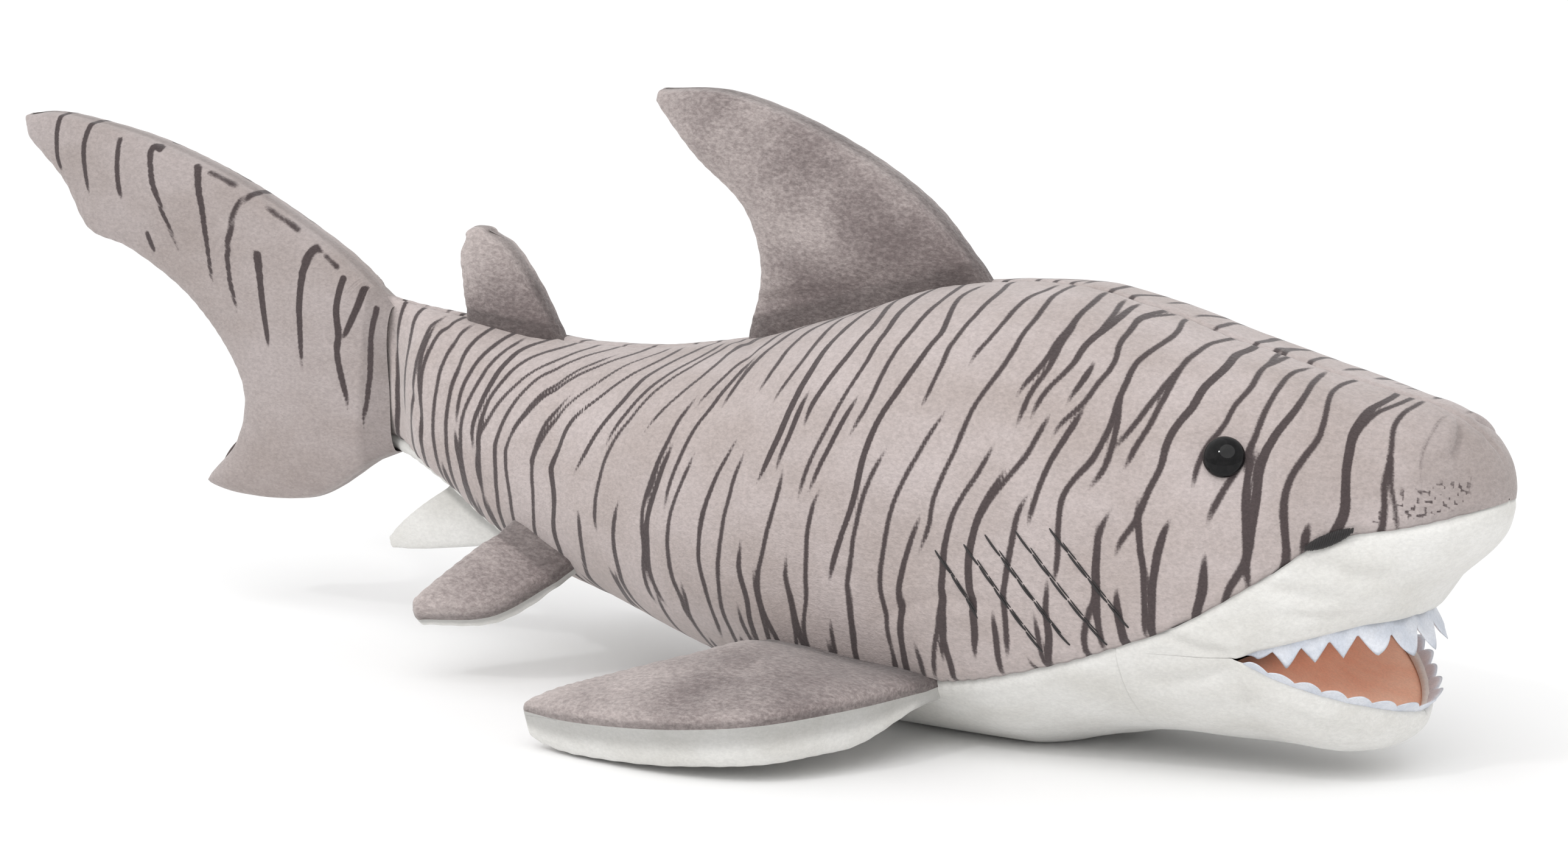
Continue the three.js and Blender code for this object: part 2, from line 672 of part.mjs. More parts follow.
const caudalFin = {
  leading: [[-255.5, 0, 113.5], [-256.5, 0, 114.5], [-257.5, 0, 115.3], [-259, 0, 116.5], [-270, 0, 124],
    [-310, 0, 143.5], [-345, 0, 155], [-372, 0, 160], [-394, 0, 162], [-405, 0, 158]],
  trailing: [[-255.5, 0, 55], [-283, 0, 40], [-325, 0, 42.5], [-312.5, 0, 58], [-309.5, 0, 75],
    [-328, 0, 100], [-356, 0, 116.5], [-374, 0, 122], [-385.5, 0, 138], [-404.5, 0, 151.5]],
  columns: 6, rows: 18, over: [8, 0.5], rootBulge: 2.5,
};
const pectoralFin = {
  leading: [[-14, -56, 19], [-20, -90, 15], [-36, -117, 11.5], [-62, -123.5, 9], [-98, -118.5, 8],
    [-118, -112, 9.5]],
  trailing: [[-75, -53, 25], [-76, -61, 26], [-84, -77, 24], [-100, -92, 19.5], [-113, -101, 15.5],
    [-120, -108, 12.5]],
  columns: 6, rows: 8, over: [4, 0.5], under: [12, 0.27], rootBulge: 1.3,
};
const pelvicFin = {
  leading: [[-160, -35.5, 32], [-173, -51.5, 22.5], [-195, -58.5, 20]],
  trailing: [[-186, -31.5, 42.5], [-193, -43, 34], [-200, -54, 25.5]],
  columns: 4, rows: 4, over: [2.8, 0.5], rootBulge: 1,
};

addBodyPanels();
addBodyStuffing();
addPalate();
addEyes();
addJaw();
addTeeth();
addStitches();
addMidlineFin("first_dorsal", firstDorsal, materials.greyPlush);
addMidlineFin("second_dorsal", secondDorsal, materials.greyPlush);
addMidlineFin("anal_fin", analFin, materials.whitePlush);
addMidlineFin("caudal_fin", caudalFin, materials.stripedPlush);
addSideFin("pectoral", pectoralFin);
addSideFin("pelvic", pelvicFin);

export default shark;
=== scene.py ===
import json
import math

import bmesh
import bpy
import numpy as np
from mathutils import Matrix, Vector

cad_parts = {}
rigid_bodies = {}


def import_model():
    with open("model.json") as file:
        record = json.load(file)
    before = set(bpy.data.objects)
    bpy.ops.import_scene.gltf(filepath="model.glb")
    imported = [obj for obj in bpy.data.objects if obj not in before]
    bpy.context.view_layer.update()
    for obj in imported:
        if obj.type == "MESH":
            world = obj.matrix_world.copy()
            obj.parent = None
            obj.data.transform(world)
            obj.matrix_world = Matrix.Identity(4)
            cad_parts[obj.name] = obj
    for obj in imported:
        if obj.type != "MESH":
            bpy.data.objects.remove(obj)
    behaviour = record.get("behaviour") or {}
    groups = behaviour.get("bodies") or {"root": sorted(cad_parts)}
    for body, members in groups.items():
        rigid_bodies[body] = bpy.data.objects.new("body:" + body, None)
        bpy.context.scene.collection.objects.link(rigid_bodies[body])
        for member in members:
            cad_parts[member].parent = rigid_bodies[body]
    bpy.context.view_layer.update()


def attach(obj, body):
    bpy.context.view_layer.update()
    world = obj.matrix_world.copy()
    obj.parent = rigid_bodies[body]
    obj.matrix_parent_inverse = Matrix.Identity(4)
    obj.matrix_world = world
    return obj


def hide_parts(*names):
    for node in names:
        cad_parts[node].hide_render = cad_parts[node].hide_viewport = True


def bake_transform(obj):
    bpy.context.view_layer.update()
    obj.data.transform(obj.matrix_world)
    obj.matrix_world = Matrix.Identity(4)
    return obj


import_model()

MM = 0.001
SEED = 41

# ---- the body's side, top and plan outlines, in mm, as in the CAD model ----

TOP = [(-252, 111), (-222, 106), (-165, 101.5), (-138, 103.5), (-111, 108), (-70, 120.5), (-28, 132.5),
       (0, 133.5), (25, 130), (53, 123.5), (89, 115.5), (112, 110.8), (142, 104)]
BOTTOM = [(-252, 61), (-222, 51), (-194, 36), (-165, 26.5), (-138, 20), (-111, 12.5), (-75, 3.5), (-40, -2),
          (0, -2.5), (25, 3.5), (45, 7.5), (65, 8.5), (79, 9.5), (90, 18), (101, 31), (110, 41.5),
          (117, 49.4), (123, 57.5), (131, 63), (142, 68)]
WIDEST = [(-252, 86), (-200, 70), (-150, 62), (-100, 60), (0, 62), (50, 66), (79, 70), (100, 77), (112, 80),
          (142, 84)]
HALF_WIDTH = [(-252, 14), (-237, 17), (-210, 24.5), (-180, 33), (-150, 42), (-120, 49.5), (-90, 55.5),
              (-60, 59.5), (-30, 61), (0, 61.5), (30, 60), (59, 54.5), (75, 50), (90, 44), (99, 39),
              (112, 32), (126, 26), (142, 17)]
SIDE_SEAM = [(-280, 64), (-252, 64.5), (-222, 55), (-200, 43.5), (-165, 28), (-111, 14), (-60, 18),
             (-13, 22), (10, 27), (59, 45), (90, 64), (99, 71), (110, 75.5), (122, 77.6), (135, 81),
             (143, 84), (160, 92)]
CHIN = [(79, 7.9), (95, 7), (105, 8.5), (112, 11.5), (116, 15), (118, 19)]

TAIL_END_X = -252
STALK_ROUND_X = -224
SNOUT_START_X = 112
NOSE_X = 141.5
NOSE_END_X = NOSE_X - 0.0001
SECTION_POWER = 2.3  # the cross-section is a superellipse of this power
HINGE_X = 79
HINGE_Z = 39
CHIN_X = 118
RIM_FRONT_Z = 20.5
PALATE_FRONT = (117, 49.4)
MOUTH_FRONT_X = PALATE_FRONT[0]
REST_Z = 2.5  # skin below this height lies on the floor
FLOOR_GAP = 0.05
THROAT_X = 46
THROAT_LAP = 1.6  # how far the belly's skin carries on under the cheeks and jaw
TAIL_TUCK_X = -257  # the stalk's skin runs on inside the root of the tail fin
FIN_SKIN = 1.55
ROOT_DEPTH = 10  # how far a fin's skin carries on inside the body it is sewn to
ROOT_ROWS = 8


def smoothstep(low, high, value):
    t = np.clip((value - low) / (high - low), 0, 1)
    return t * t * (3 - 2 * t)


def along(knots, x):
    """Monotone cubic interpolation through (x, value) knots."""
    xs, ys = np.array(knots, float).T
    slope = np.diff(ys) / np.diff(xs)
    before, after = slope[:-1], slope[1:]
    product = before * after
    middle = np.where(product > 0, 2 * product / np.where(product > 0, before + after, 1), 0)
    tangent = np.concatenate([[slope[0]], middle, [slope[-1]]])
    x = np.clip(x, xs[0], xs[-1])
    k = np.clip(np.searchsorted(xs, x, side="right") - 1, 0, len(xs) - 2)
    width = xs[k + 1] - xs[k]
    t = (x - xs[k]) / width
    start = (2 * t**3 - 3 * t**2 + 1) * ys[k] + (t**3 - 2 * t**2 + t) * width * tangent[k]
    end = (3 * t**2 - 2 * t**3) * ys[k + 1] + (t**3 - t**2) * width * tangent[k + 1]
    return start + end


def body_section(x):
    """Half width, widest height, and reach above and below it, of the body at each x."""
    widest = along(WIDEST, x)
    half = along(HALF_WIDTH, x)
    up = along(TOP, x) - widest
    down = widest - along(BOTTOM, x)
    snout = np.clip((x - SNOUT_START_X) / (NOSE_X - SNOUT_START_X), 0, 1)
    rounding = np.clip(1 - snout**3, 0, 1) ** 0.37
    stalk = np.clip((STALK_ROUND_X - x) / (STALK_ROUND_X - TAIL_END_X), 0, 1)
    tuck = np.clip((TAIL_END_X - x) / (TAIL_END_X - TAIL_TUCK_X), 0, 1)
    tail = (1 - 0.66 * smoothstep(0, 1, stalk)) * (1 - 0.7 * tuck**2)
    return half * rounding * tail, widest, up * rounding, down * rounding


def jaw_section(x):
    """The same four numbers for the lower jaw, which leaves the body's own section at the hinge."""
    half, widest, up, down = body_section(x)
    progress = np.clip((x - HINGE_X) / (CHIN_X - HINGE_X), 0, 1)
    hinge_half = body_section(np.array([float(HINGE_X)]))[0][0]
    narrowing = np.maximum(0.02, (1 - progress**1.6) ** 0.7)
    jaw_widest = 70 + (RIM_FRONT_Z + 2 - 70) * progress
    reach = jaw_widest - along(CHIN, x)
    front = x > HINGE_X
    bottom = np.minimum(along(BOTTOM, x), 7.9)
    half = np.where(front, hinge_half * narrowing, half)
    down = np.where(front, reach, widest - bottom)
    up = np.where(front, reach, up)
    return half, np.where(front, jaw_widest, widest), up, down


def mouth_plane_z(x):
    return HINGE_Z + (x - HINGE_X) * (PALATE_FRONT[1] - HINGE_Z) / (PALATE_FRONT[0] - HINGE_X)


def jaw_rim_z(x):
    top = HINGE_Z - 0.5
    return top - (x - HINGE_X) * (top - RIM_FRONT_Z) / (CHIN_X - HINGE_X)


# ---- numbers in fields ----


def smooth_noise(points, size, seed):
    """Smooth value noise from -1 to 1 at points in mm. size is how far apart its lumps are."""
    cells = 32
    values = np.random.default_rng(SEED + seed).uniform(-1, 1, (cells, cells, cells))
    scaled = np.asarray(points) / size + 1000
    low = np.floor(scaled).astype(int)
    t = scaled - low
    t = t * t * (3 - 2 * t)
    total = np.zeros(scaled.shape[:-1])
    for corner in range(8):
        offset = np.array([corner & 1, (corner >> 1) & 1, corner >> 2])
        index = (low + offset) % cells
        weight = np.prod(np.where(offset == 1, t, 1 - t), axis=-1)
        total += weight * values[index[..., 0], index[..., 1], index[..., 2]]
    return total


def unit(vectors):
    """The same directions at length 1."""
    return vectors / np.maximum(np.linalg.norm(vectors, axis=-1, keepdims=True), 1e-9)


def length_along(line):
    """How far along a line each of its points is."""
    return np.concatenate([[0], np.cumsum(np.linalg.norm(np.diff(line, axis=0), axis=-1))])


def grid_normals(grid):
    """Unit normals of a grid of points, from its rows and columns."""
    return unit(np.cross(np.gradient(grid, axis=0), np.gradient(grid, axis=1)))


# ---- making objects ----


def link(obj):
    bpy.context.scene.collection.objects.link(obj)
    return obj


def grid_faces(rows, columns, flip, first):
    """Quads over a grid of points, row by row."""
    index = np.arange(rows * columns).reshape(rows, columns) + first
    quads = np.stack([index[:-1, :-1], index[:-1, 1:], index[1:, 1:], index[1:, :-1]], axis=-1).reshape(-1, 4)
    return quads[:, ::-1] if flip else quads


def grids_object(name, grids, material, flips, attributes):
    """A smooth-shaded object from grids of points in mm. flips turn a grid's faces round, and attributes
    maps a name to one array per grid."""
    faces, first = [], 0
    for grid, flip in zip(grids, flips):
        rows, columns = grid.shape[:2]
        faces.append(grid_faces(rows, columns, flip, first))
        first += rows * columns
    points = np.concatenate([grid.reshape(-1, 3) for grid in grids]) * MM
    mesh = bpy.data.meshes.new(name)
    mesh.from_pydata(points.tolist(), [], np.concatenate(faces).tolist())
    mesh.polygons.foreach_set("use_smooth", [True] * len(mesh.polygons))
    rest = mesh.attributes.new("rest", "FLOAT_VECTOR", "POINT")
    rest.data.foreach_set("vector", points.astype(np.float32).ravel())
    for key, parts in attributes.items():
        layer = mesh.attributes.new(key, "FLOAT", "POINT")
        layer.data.foreach_set("value", np.concatenate([part.ravel() for part in parts]).astype(np.float32))
    mesh.materials.append(material)
    mesh.update()
    return link(bpy.data.objects.new(name, mesh))


def grid_object(name, grid, material, flip, attributes):
    """The same from one grid, with one array per attribute."""
    return grids_object(name, [grid], material, [flip], {key: [value] for key, value in attributes.items()})


def mirror(grid):
    return grid * np.array([1, -1, 1])


def merge_close(obj):
    """Joins points that lie on each other, such as where two halves meet."""
    work = bmesh.new()
    work.from_mesh(obj.data)
    bmesh.ops.remove_doubles(work, verts=work.verts, dist=0.00002)
    work.to_mesh(obj.data)
    work.free()


def stand_for(nodes):
    """Hides the CAD nodes that a piece stands for."""
    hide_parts(*nodes)


# ---- materials ----


def plug(tree, node, values):
    """Sets a node's inputs, each to a number, three numbers, a colour or the output of another node."""
    for key, value in values.items():
        socket = node.inputs[key]
        if isinstance(value, tuple):
            size = len(socket.default_value)
            socket.default_value = (*value, 1)[:size]
        elif isinstance(value, (int, float)):
            socket.default_value = value
        elif value is not None:
            tree.links.new(value, socket)


def new_material(name, colour, roughness):
    """A material, its node tree and its Principled shader."""
    material = bpy.data.materials.new(name)
    material.use_nodes = True
    tree = material.node_tree
    shader = tree.nodes["Principled BSDF"]
    plug(tree, shader, {"Base Color": colour, "Roughness": roughness})
    material.diffuse_color = (*colour, 1)
    return material, tree, shader


def srgb(red, green, blue):
    """A colour from 0 to 255 as seen, in the shader's linear numbers."""
    shown = (red, green, blue)
    return tuple(((c / 255 + 0.055) / 1.055) ** 2.4 if c > 10 else c / 255 / 12.92 for c in shown)


def rest_coordinates(tree, scale):
    """The place on the fabric at rest, so that a pattern stays with it as the fabric bends."""
    rest = tree.nodes.new("ShaderNodeAttribute")
    rest.attribute_name = "rest"
    mapping = tree.nodes.new("ShaderNodeMapping")
    plug(tree, mapping, {"Scale": scale, "Vector": rest.outputs["Vector"]})
    return mapping.outputs["Vector"]


def noise(tree, vector, scale, detail, roughness):
    node = tree.nodes.new("ShaderNodeTexNoise")
    plug(tree, node, {"Vector": vector, "Scale": scale, "Detail": detail, "Roughness": roughness})
    return node.outputs["Fac"]


def attribute(tree, name):
    node = tree.nodes.new("ShaderNodeAttribute")
    node.attribute_name = name
    return node.outputs["Fac"]


def math_node(tree, operation, a, b, c=None):
    node = tree.nodes.new("ShaderNodeMath")
    node.operation = operation
    plug(tree, node, {0: a, 1: b, 2: c})
    return node.outputs[0]


def remap(tree, value, *limits):
    """Turns value's range into another. limits are its low and high ends before and after."""
    node = tree.nodes.new("ShaderNodeMapRange")
    node.interpolation_type = "SMOOTHSTEP"
    plug(tree, node, {"Value": value} | dict(zip(("From Min", "From Max", "To Min", "To Max"), limits)))
    return node.outputs["Result"]


def mix_colour(tree, factor, a, b, blend="MIX"):
    node = tree.nodes.new("ShaderNodeMix")
    node.data_type = "RGBA"
    node.blend_type = blend
    plug(tree, node, {0: factor, 6: a, 7: b})
    return node.outputs[2]


def bump(tree, height, strength, distance, under=None):
    node = tree.nodes.new("ShaderNodeBump")
    plug(tree, node, {"Height": height, "Strength": strength, "Distance": distance, "Normal": under})
    return node.outputs["Normal"]


def plush_material(name, shades, nap, ink_colour=None, fin_shade_and_tone=False):
    """Short-pile plush. shades are its light, middle and dark colours and nap is how rough its surface is.
    ink_colour prints stripes on it, and the last argument makes its colour follow each point's painted shade
    and brushed nap on the fin that it is on."""
    light, middle, dark = (srgb(*shade) for shade in shades)
    material, tree, shader = new_material(name, middle, 0.92)
    pile_place = rest_coordinates(tree, (0.55, 1.0, 1.0))
    tufts = noise(tree, rest_coordinates(tree, (1.0, 1.0, 1.6)), 620, 3, 0.65)
    pile = noise(tree, pile_place, 1900, 2, 0.6)
    patches = remap(tree, noise(tree, pile_place, 48, 3, 0.55), 0.25, 0.75, 0, 1)
    if fin_shade_and_tone:
        grain = remap(tree, noise(tree, pile_place, 900, 3, 0.7), 0.3, 0.7, -0.16, 0.16)
        # On a fin, the patches take in painted shade and the nap's brushed patches from the fin's own
        # attribute.
        patches = math_node(tree, "MULTIPLY_ADD", patches, 0.16, attribute(tree, "painted_shade_and_nap_tone"))
        patches = remap(tree, math_node(tree, "ADD", patches, grain), -0.05, 1.0, 0, 1)
    tuft_shade = remap(tree, tufts, 0.28, 0.72, 1 - 0.12 * nap, 1 + 0.06 * nap)
    pile_shade = remap(tree, pile, 0.25, 0.75, 1 - 0.07 * nap, 1 + 0.05 * nap)
    # Painted shade along seams, in folds and at fin roots, with a plain darkening towards the snout and over
    # the tail fin.
    painted_shade_and_darkening_factor = remap(tree, attribute(tree, "crease"), 0, 1, 1, 0.64)
    shade = math_node(tree, "MULTIPLY", tuft_shade, pile_shade)
    shade = math_node(tree, "MULTIPLY", shade, painted_shade_and_darkening_factor)
    colour = mix_colour(tree, patches, dark, light)
    colour = mix_colour(tree, 1.0, colour, combine_grey(tree, shade), "MULTIPLY")
    if ink_colour is not None:
        colour = printed(tree, colour, pile, srgb(*ink_colour))
    coarse = bump(tree, tufts, 0.5 * nap, 0.0006)
    plug(tree, shader, {"Base Color": colour, "Roughness": remap(tree, tufts, 0.2, 0.8, 0.82, 0.98),
                        "Normal": bump(tree, pile, 0.6 * nap, 0.00022, coarse),
                        "Sheen Weight": 0.3, "Sheen Roughness": 0.45, "Specular IOR Level": 0.2})
    return material


def printed(tree, colour, pile, ink_colour):
    """A colour with the piece's ink printed on it, frayed and mottled by the pile."""
    frayed = math_node(tree, "MULTIPLY", math_node(tree, "SUBTRACT", pile, 0.5), 0.35)
    inked = remap(tree, math_node(tree, "ADD", frayed, attribute(tree, "ink")), 0.34, 0.66, 0, 0.94)
    mottle = combine_grey(tree, remap(tree, pile, 0.2, 0.8, 0.75, 1.25))
    return mix_colour(tree, inked, colour, mix_colour(tree, 1.0, mottle, ink_colour, "MULTIPLY"))


def combine_grey(tree, value):
    node = tree.nodes.new("ShaderNodeCombineColor")
    plug(tree, node, {0: value, 1: value, 2: value})
    return node.outputs["Color"]


def felt_material(name, light, dark, sheen):
    """Pressed felt: matted short fibres with no weave."""
    material, tree, shader = new_material(name, light, 0.95)
    place = rest_coordinates(tree, (1.0, 1.0, 1.0))
    fibres = noise(tree, place, 1400, 4, 0.75)
    clouds = noise(tree, place, 160, 2, 0.5)
    colour = mix_colour(tree, remap(tree, clouds, 0.3, 0.7, 0, 1), dark, light)
    # The fibres' grain, times painted shade in the mouth's corners and at the teeth's roots.
    shade = math_node(tree, "MULTIPLY", remap(tree, fibres, 0.3, 0.7, 0.9, 1.05),
                      remap(tree, attribute(tree, "crease"), 0, 1, 1, 0.5))
    colour = mix_colour(tree, 1.0, colour, combine_grey(tree, shade), "MULTIPLY")
    plug(tree, shader, {"Base Color": colour, "Roughness": remap(tree, fibres, 0.3, 0.7, 0.88, 1.0),
                        "Normal": bump(tree, fibres, 0.5, 0.0003),
                        "Sheen Weight": sheen, "Specular IOR Level": 0.15})
    return material


def eye_material():
    """Polished black plastic with faint moulding haze and dust scratches."""
    material, tree, shader = new_material("eye_plastic", srgb(14, 13, 14), 0.12)
    place = rest_coordinates(tree, (1.0, 1.0, 1.0))
    haze = noise(tree, place, 700, 3, 0.6)
    colour = mix_colour(tree, remap(tree, haze, 0.35, 0.7, 0, 1), srgb(8, 8, 9), srgb(20, 19, 20))
    plug(tree, shader, {"Base Color": colour, "Roughness": remap(tree, haze, 0.3, 0.75, 0.015, 0.05),
                        "Normal": bump(tree, haze, 0.04, 0.0002), "Specular IOR Level": 0.22})
    return material


def thread_material():
    """Black embroidery thread: fine twist and a soft satin gleam."""
    material, tree, shader = new_material("black_thread", srgb(22, 19, 20), 0.55)
    place = rest_coordinates(tree, (1.0, 1.0, 2.5))
    twist = noise(tree, place, 2600, 2, 0.6)
    colour = mix_colour(tree, remap(tree, twist, 0.3, 0.7, 0, 1), srgb(10, 9, 10), srgb(44, 39, 40))
    plug(tree, shader, {"Base Color": colour, "Roughness": remap(tree, twist, 0.3, 0.7, 0.42, 0.68),
                        "Normal": bump(tree, twist, 0.5, 0.00015), "Sheen Weight": 0.15})
    return material


def floor_material():
    pale = (0.93, 0.93, 0.93)
    material, tree, shader = new_material("studio_floor", pale, 0.8)
    coordinates = tree.nodes.new("ShaderNodeTexCoord")
    grain = noise(tree, coordinates.outputs["Object"], 9, 2, 0.5)
    plug(tree, shader, {"Base Color": mix_colour(tree, grain, pale, (0.95, 0.95, 0.95))})
    return material


STRIPED_SHADES = [(191, 180, 178), (184, 172, 170), (176, 164, 160)]
GREY_SHADES = [(188, 177, 174), (152, 141, 139), (116, 105, 104)]
WHITE_SHADES = [(227, 226, 223), (220, 219, 215), (211, 209, 204)]

# Each material, under the name by which the pieces find it.
MATERIALS = {
    "striped_plush": plush_material("striped_plush", STRIPED_SHADES, 1.0, ink_colour=(62, 52, 53)),
    "grey_plush": plush_material("grey_plush", GREY_SHADES, 1.3, fin_shade_and_tone=True),
    "white_plush": plush_material("white_plush", WHITE_SHADES, 0.5),
    "white_felt": felt_material("white_felt", srgb(222, 225, 232), srgb(206, 211, 221), 0.2),
    "mouth_lining": felt_material("mouth_lining", srgb(252, 206, 180), srgb(250, 196, 168), 0.15),
    "eye_plastic": eye_material(),
    "black_thread": thread_material(),
}


# ---- stripes ----


STROKE_WIDTH = 0.95
GAP_TRIES = 500
WIDEST_GAP = 6.2

# How far toward the tail a stripe sweeps, and where down the side the sweep starts and ends, by x.
LEAN = [(-250, 0), (-200, 8), (-150, 32), (-110, 26), (-65, 20), (0, 26), (50, 16), (110, 8)]
LEAN_START = [(-250, 0), (-150, 8), (-65, 30), (0, 42), (60, 42)]
LEAN_END = [(-250, 40), (-150, 50), (-65, 100), (0, 118), (60, 110)]


def leaning(x, q):
    """How far toward the tail a stripe that starts at x on the back has swept, q mm down the side."""
    start, end = along(LEAN_START, x), along(LEAN_END, x)
    t = np.clip((q - start) / (end - start), 0, 1)
    return -along(LEAN, x) * (0.5 * t + 0.5 * smoothstep(0, 1, t))


def stripe_stroke(rng, x, start, end, strength, wander, swept=True):
    """A long thin stroke: where it is across the body at each place down the side, and how strong."""
    length = end - start
    lean = rng.uniform(-0.04, 0.05)
    waves = [(rng.uniform(0.35, 1.0) * wander, rng.uniform(38, 76), rng.uniform(0, 2 * math.pi)),
             (rng.uniform(0.05, 0.22) * wander, rng.uniform(16, 28), rng.uniform(0, 2 * math.pi))]
    heavy = rng.uniform(0.25, 0.75)
    spread = rng.uniform(0.18, 0.4)

    def place(q):
        offset = lean * (q - (start + end) / 2)
        if swept:
            offset = offset + leaning(x, q)
        for size, period, phase in waves:
            offset = offset + size * np.sin(2 * math.pi * q / period + phase)
        return x + offset

    def power(q):
        t = (q - start) / length
        ends = np.clip(np.minimum(t, 1 - t) * length / 9, 0, 1) ** 0.6
        return ends * (0.76 + strength * np.exp(-(((t - heavy) / spread) ** 2)))

    return {"start": start, "end": end, "place": place, "power": power}


def forked(rng, stroke, gap):
    """A second strand that leaves a stroke and runs beside it."""
    start, end = stroke["start"], stroke["end"]
    joint = rng.uniform(0.3, 0.7) * (end - start) + start
    towards = 1 if rng.random() < 0.5 else -1
    reach = rng.uniform(22, 42)
    side = rng.choice([-1, 1]) * gap
    far = joint + towards * reach

    def away(q):
        return np.clip((q - joint) * towards / reach, 0, 1)

    def place(q):
        return stroke["place"](q) + side * away(q) ** 0.8

    def power(q):
        return 0.78 * np.clip((1 - away(q)) * reach / 9, 0, 1) ** 0.6

    return {"start": min(joint, far), "end": max(joint, far), "place": place, "power": power}


def long_strokes(rng):
    """The main stripes: columns of strokes from the back down, some forked, with short ones between."""
    strokes = []
    x = -251.0
    while x < 132:
        tail = float(smoothstep(-120, -210, x))
        step = rng.uniform(7.8, 10.6) - 1.6 * tail
        q = rng.uniform(-14, 4)
        while q < 150:
            length = rng.uniform(46, 118)
            strength = rng.choice([0.02, 0.1, 0.26, 0.5], p=[0.3, 0.3, 0.25, 0.15]) * (1 - 0.55 * tail)
            stroke = stripe_stroke(rng, x + rng.uniform(-1.3, 1.3), q, q + length, strength, 1.9 - 0.8 * tail)
            strokes.append(stroke)
            if rng.random() < 0.34 - 0.2 * tail:
                strokes.append(forked(rng, stroke, step * 0.55))
            q += length + rng.uniform(3, 11)
        if rng.random() < 0.35:
            q = rng.uniform(10, 110)
            strokes.append(stripe_stroke(rng, x + step / 2, q, q + rng.uniform(14, 40), 0.25, 0.8))
        x += step
    return strokes


def seam_strokes(rng):
    """Short upright stripes that run down into the side seam."""
    strokes = []
    x = -205.0
    while x < 96:
        low = float(np.interp(x, SEAM_REACH_X, SEAM_REACH))
        start = low - rng.uniform(16, 34 + 18 * float(smoothstep(-180, -60, x)))
        strength = rng.choice([0.0, 0.15, 0.35])
        strokes.append(stripe_stroke(rng, x, start, low + 4, strength, 1.0, swept=False))
        x += rng.uniform(9, 17)
    return strokes


def fill_gaps(rng, strokes):
    """Adds a short stroke wherever a random place on the fabric is far from every other."""
    for _ in range(GAP_TRIES):
        x, q = rng.uniform(-225, 118), rng.uniform(12, 135)
        beside = [stroke for stroke in strokes if stroke["start"] < q < stroke["end"]]
        if min((abs(float(stroke["place"](q)) - x) for stroke in beside), default=99) > WIDEST_GAP:
            half = rng.uniform(24, 56) / 2
            back_x = x - float(leaning(x, q))
            strokes.append(stripe_stroke(rng, back_x, q - half, q + half, rng.choice([0.0, 0.15]), 1.0))


def body_strokes(seed):
    """Stripes over one side of the body. q runs down the side from the back seam, in mm of fabric."""
    rng = np.random.default_rng(SEED + seed)
    strokes = long_strokes(rng) + seam_strokes(rng)
    fill_gaps(rng, strokes)
    return strokes


def ink_from(strokes, x, q):
    """How much ink each point of the fabric holds. x and q are arrays of one shape."""
    total = np.zeros(x.shape)
    for stroke in strokes:
        across = x - stroke["place"](q)
        near = (q > stroke["start"]) & (q < stroke["end"]) & (np.abs(across) < 4)
        value = stroke["power"](q[near]) * np.exp(-0.5 * (across[near] / STROKE_WIDTH) ** 2)
        total[near] += value**4
    return total**0.25


# ---- body skins ----

RING = 480
ANGLES = np.linspace(0, math.pi, RING)


def rings(x, section):
    """Points of the right side at each x, from the top round to the bottom, and how far round each is."""
    half, widest, up, down = (v[:, None] for v in section(x))
    power = 2 / SECTION_POWER
    sine = np.sin(ANGLES)[None, :] ** power
    cosine = np.cos(ANGLES)[None, :]
    reach = np.where(cosine > 0, up, down)
    y = -half * sine
    z = widest + reach * np.sign(cosine) * np.abs(cosine) ** power
    z = np.maximum(z, 0.0) + 0.35 * np.exp(-np.abs(z) / 2.5) * (z < 6)
    grid = np.stack([np.broadcast_to(x[:, None], y.shape), y, z], axis=-1)
    steps = np.linalg.norm(np.diff(grid, axis=1), axis=-1)
    around = np.concatenate([np.zeros((len(x), 1)), np.cumsum(steps, axis=1)], axis=1)
    return grid, around


def stations(x0, x1, step, section):
    """Places along the body, evenly spaced over its surface rather than along X."""
    dense = np.concatenate([np.linspace(x0, x1, 4000), x1 - (x1 - x0) * np.linspace(0, 0.03, 800) ** 2 * 30])
    dense = np.unique(np.clip(dense, x0, x1))
    half, _, up, _ = section(dense)
    change = np.sqrt(np.diff(dense) ** 2 + 0.5 * np.diff(half) ** 2 + 0.5 * np.diff(up) ** 2)
    travelled = np.concatenate([[0], np.cumsum(change)])
    count = int(travelled[-1] / step) + 2
    return np.interp(np.linspace(0, travelled[-1], count), travelled, dense)


def around_at_height(grid, around, height):
    """How far round each ring comes down to a height."""
    return np.array([np.interp(-low, -ring[:, 2], steps) for low, ring, steps in zip(height, grid, around)])


def side_seam(grid, around, x):
    """How far round each ring the side seam is."""
    return around_at_height(grid, around, along(SIDE_SEAM, x))


def points_at(grid, around, place):
    """The point that far round each ring."""
    return np.array([[np.interp(far, steps, ring[:, axis]) for axis in range(3)]
                     for far, ring, steps in zip(place, grid, around)])


def lip_line(x, section, height):
    """The points on the right side where the skin comes down to a height at each x."""
    grid, around = rings(x, section)
    return points_at(grid, around, around_at_height(grid, around, height(x)))


def strip(grid, around, start, end, spread):
    """Rows of points between two places round each ring. Returns the points and how far round they are.
    spread says where the rows lie, from 0 at the start to 1 at the end."""
    q = start[:, None] + (end - start)[:, None] * spread[None, :]
    points = np.stack([[np.interp(far, steps, ring[:, axis]) for far, ring, steps in zip(q, grid, around)]
                       for axis in range(3)], axis=-1)
    return points, q


SEAM_REACH_X = np.linspace(TAIL_END_X, 140, 80)
SEAM_REACH = side_seam(*rings(SEAM_REACH_X, body_section), SEAM_REACH_X)


LUMPS = [(0.75, 30, 1), (0.3, 11, 2), (0.08, 4, 3)]


def lumps(points):
    """How far the stuffing pushes the skin in and out, in mm."""
    return sum(height * smooth_noise(points, size, seed) for height, size, seed in LUMPS)


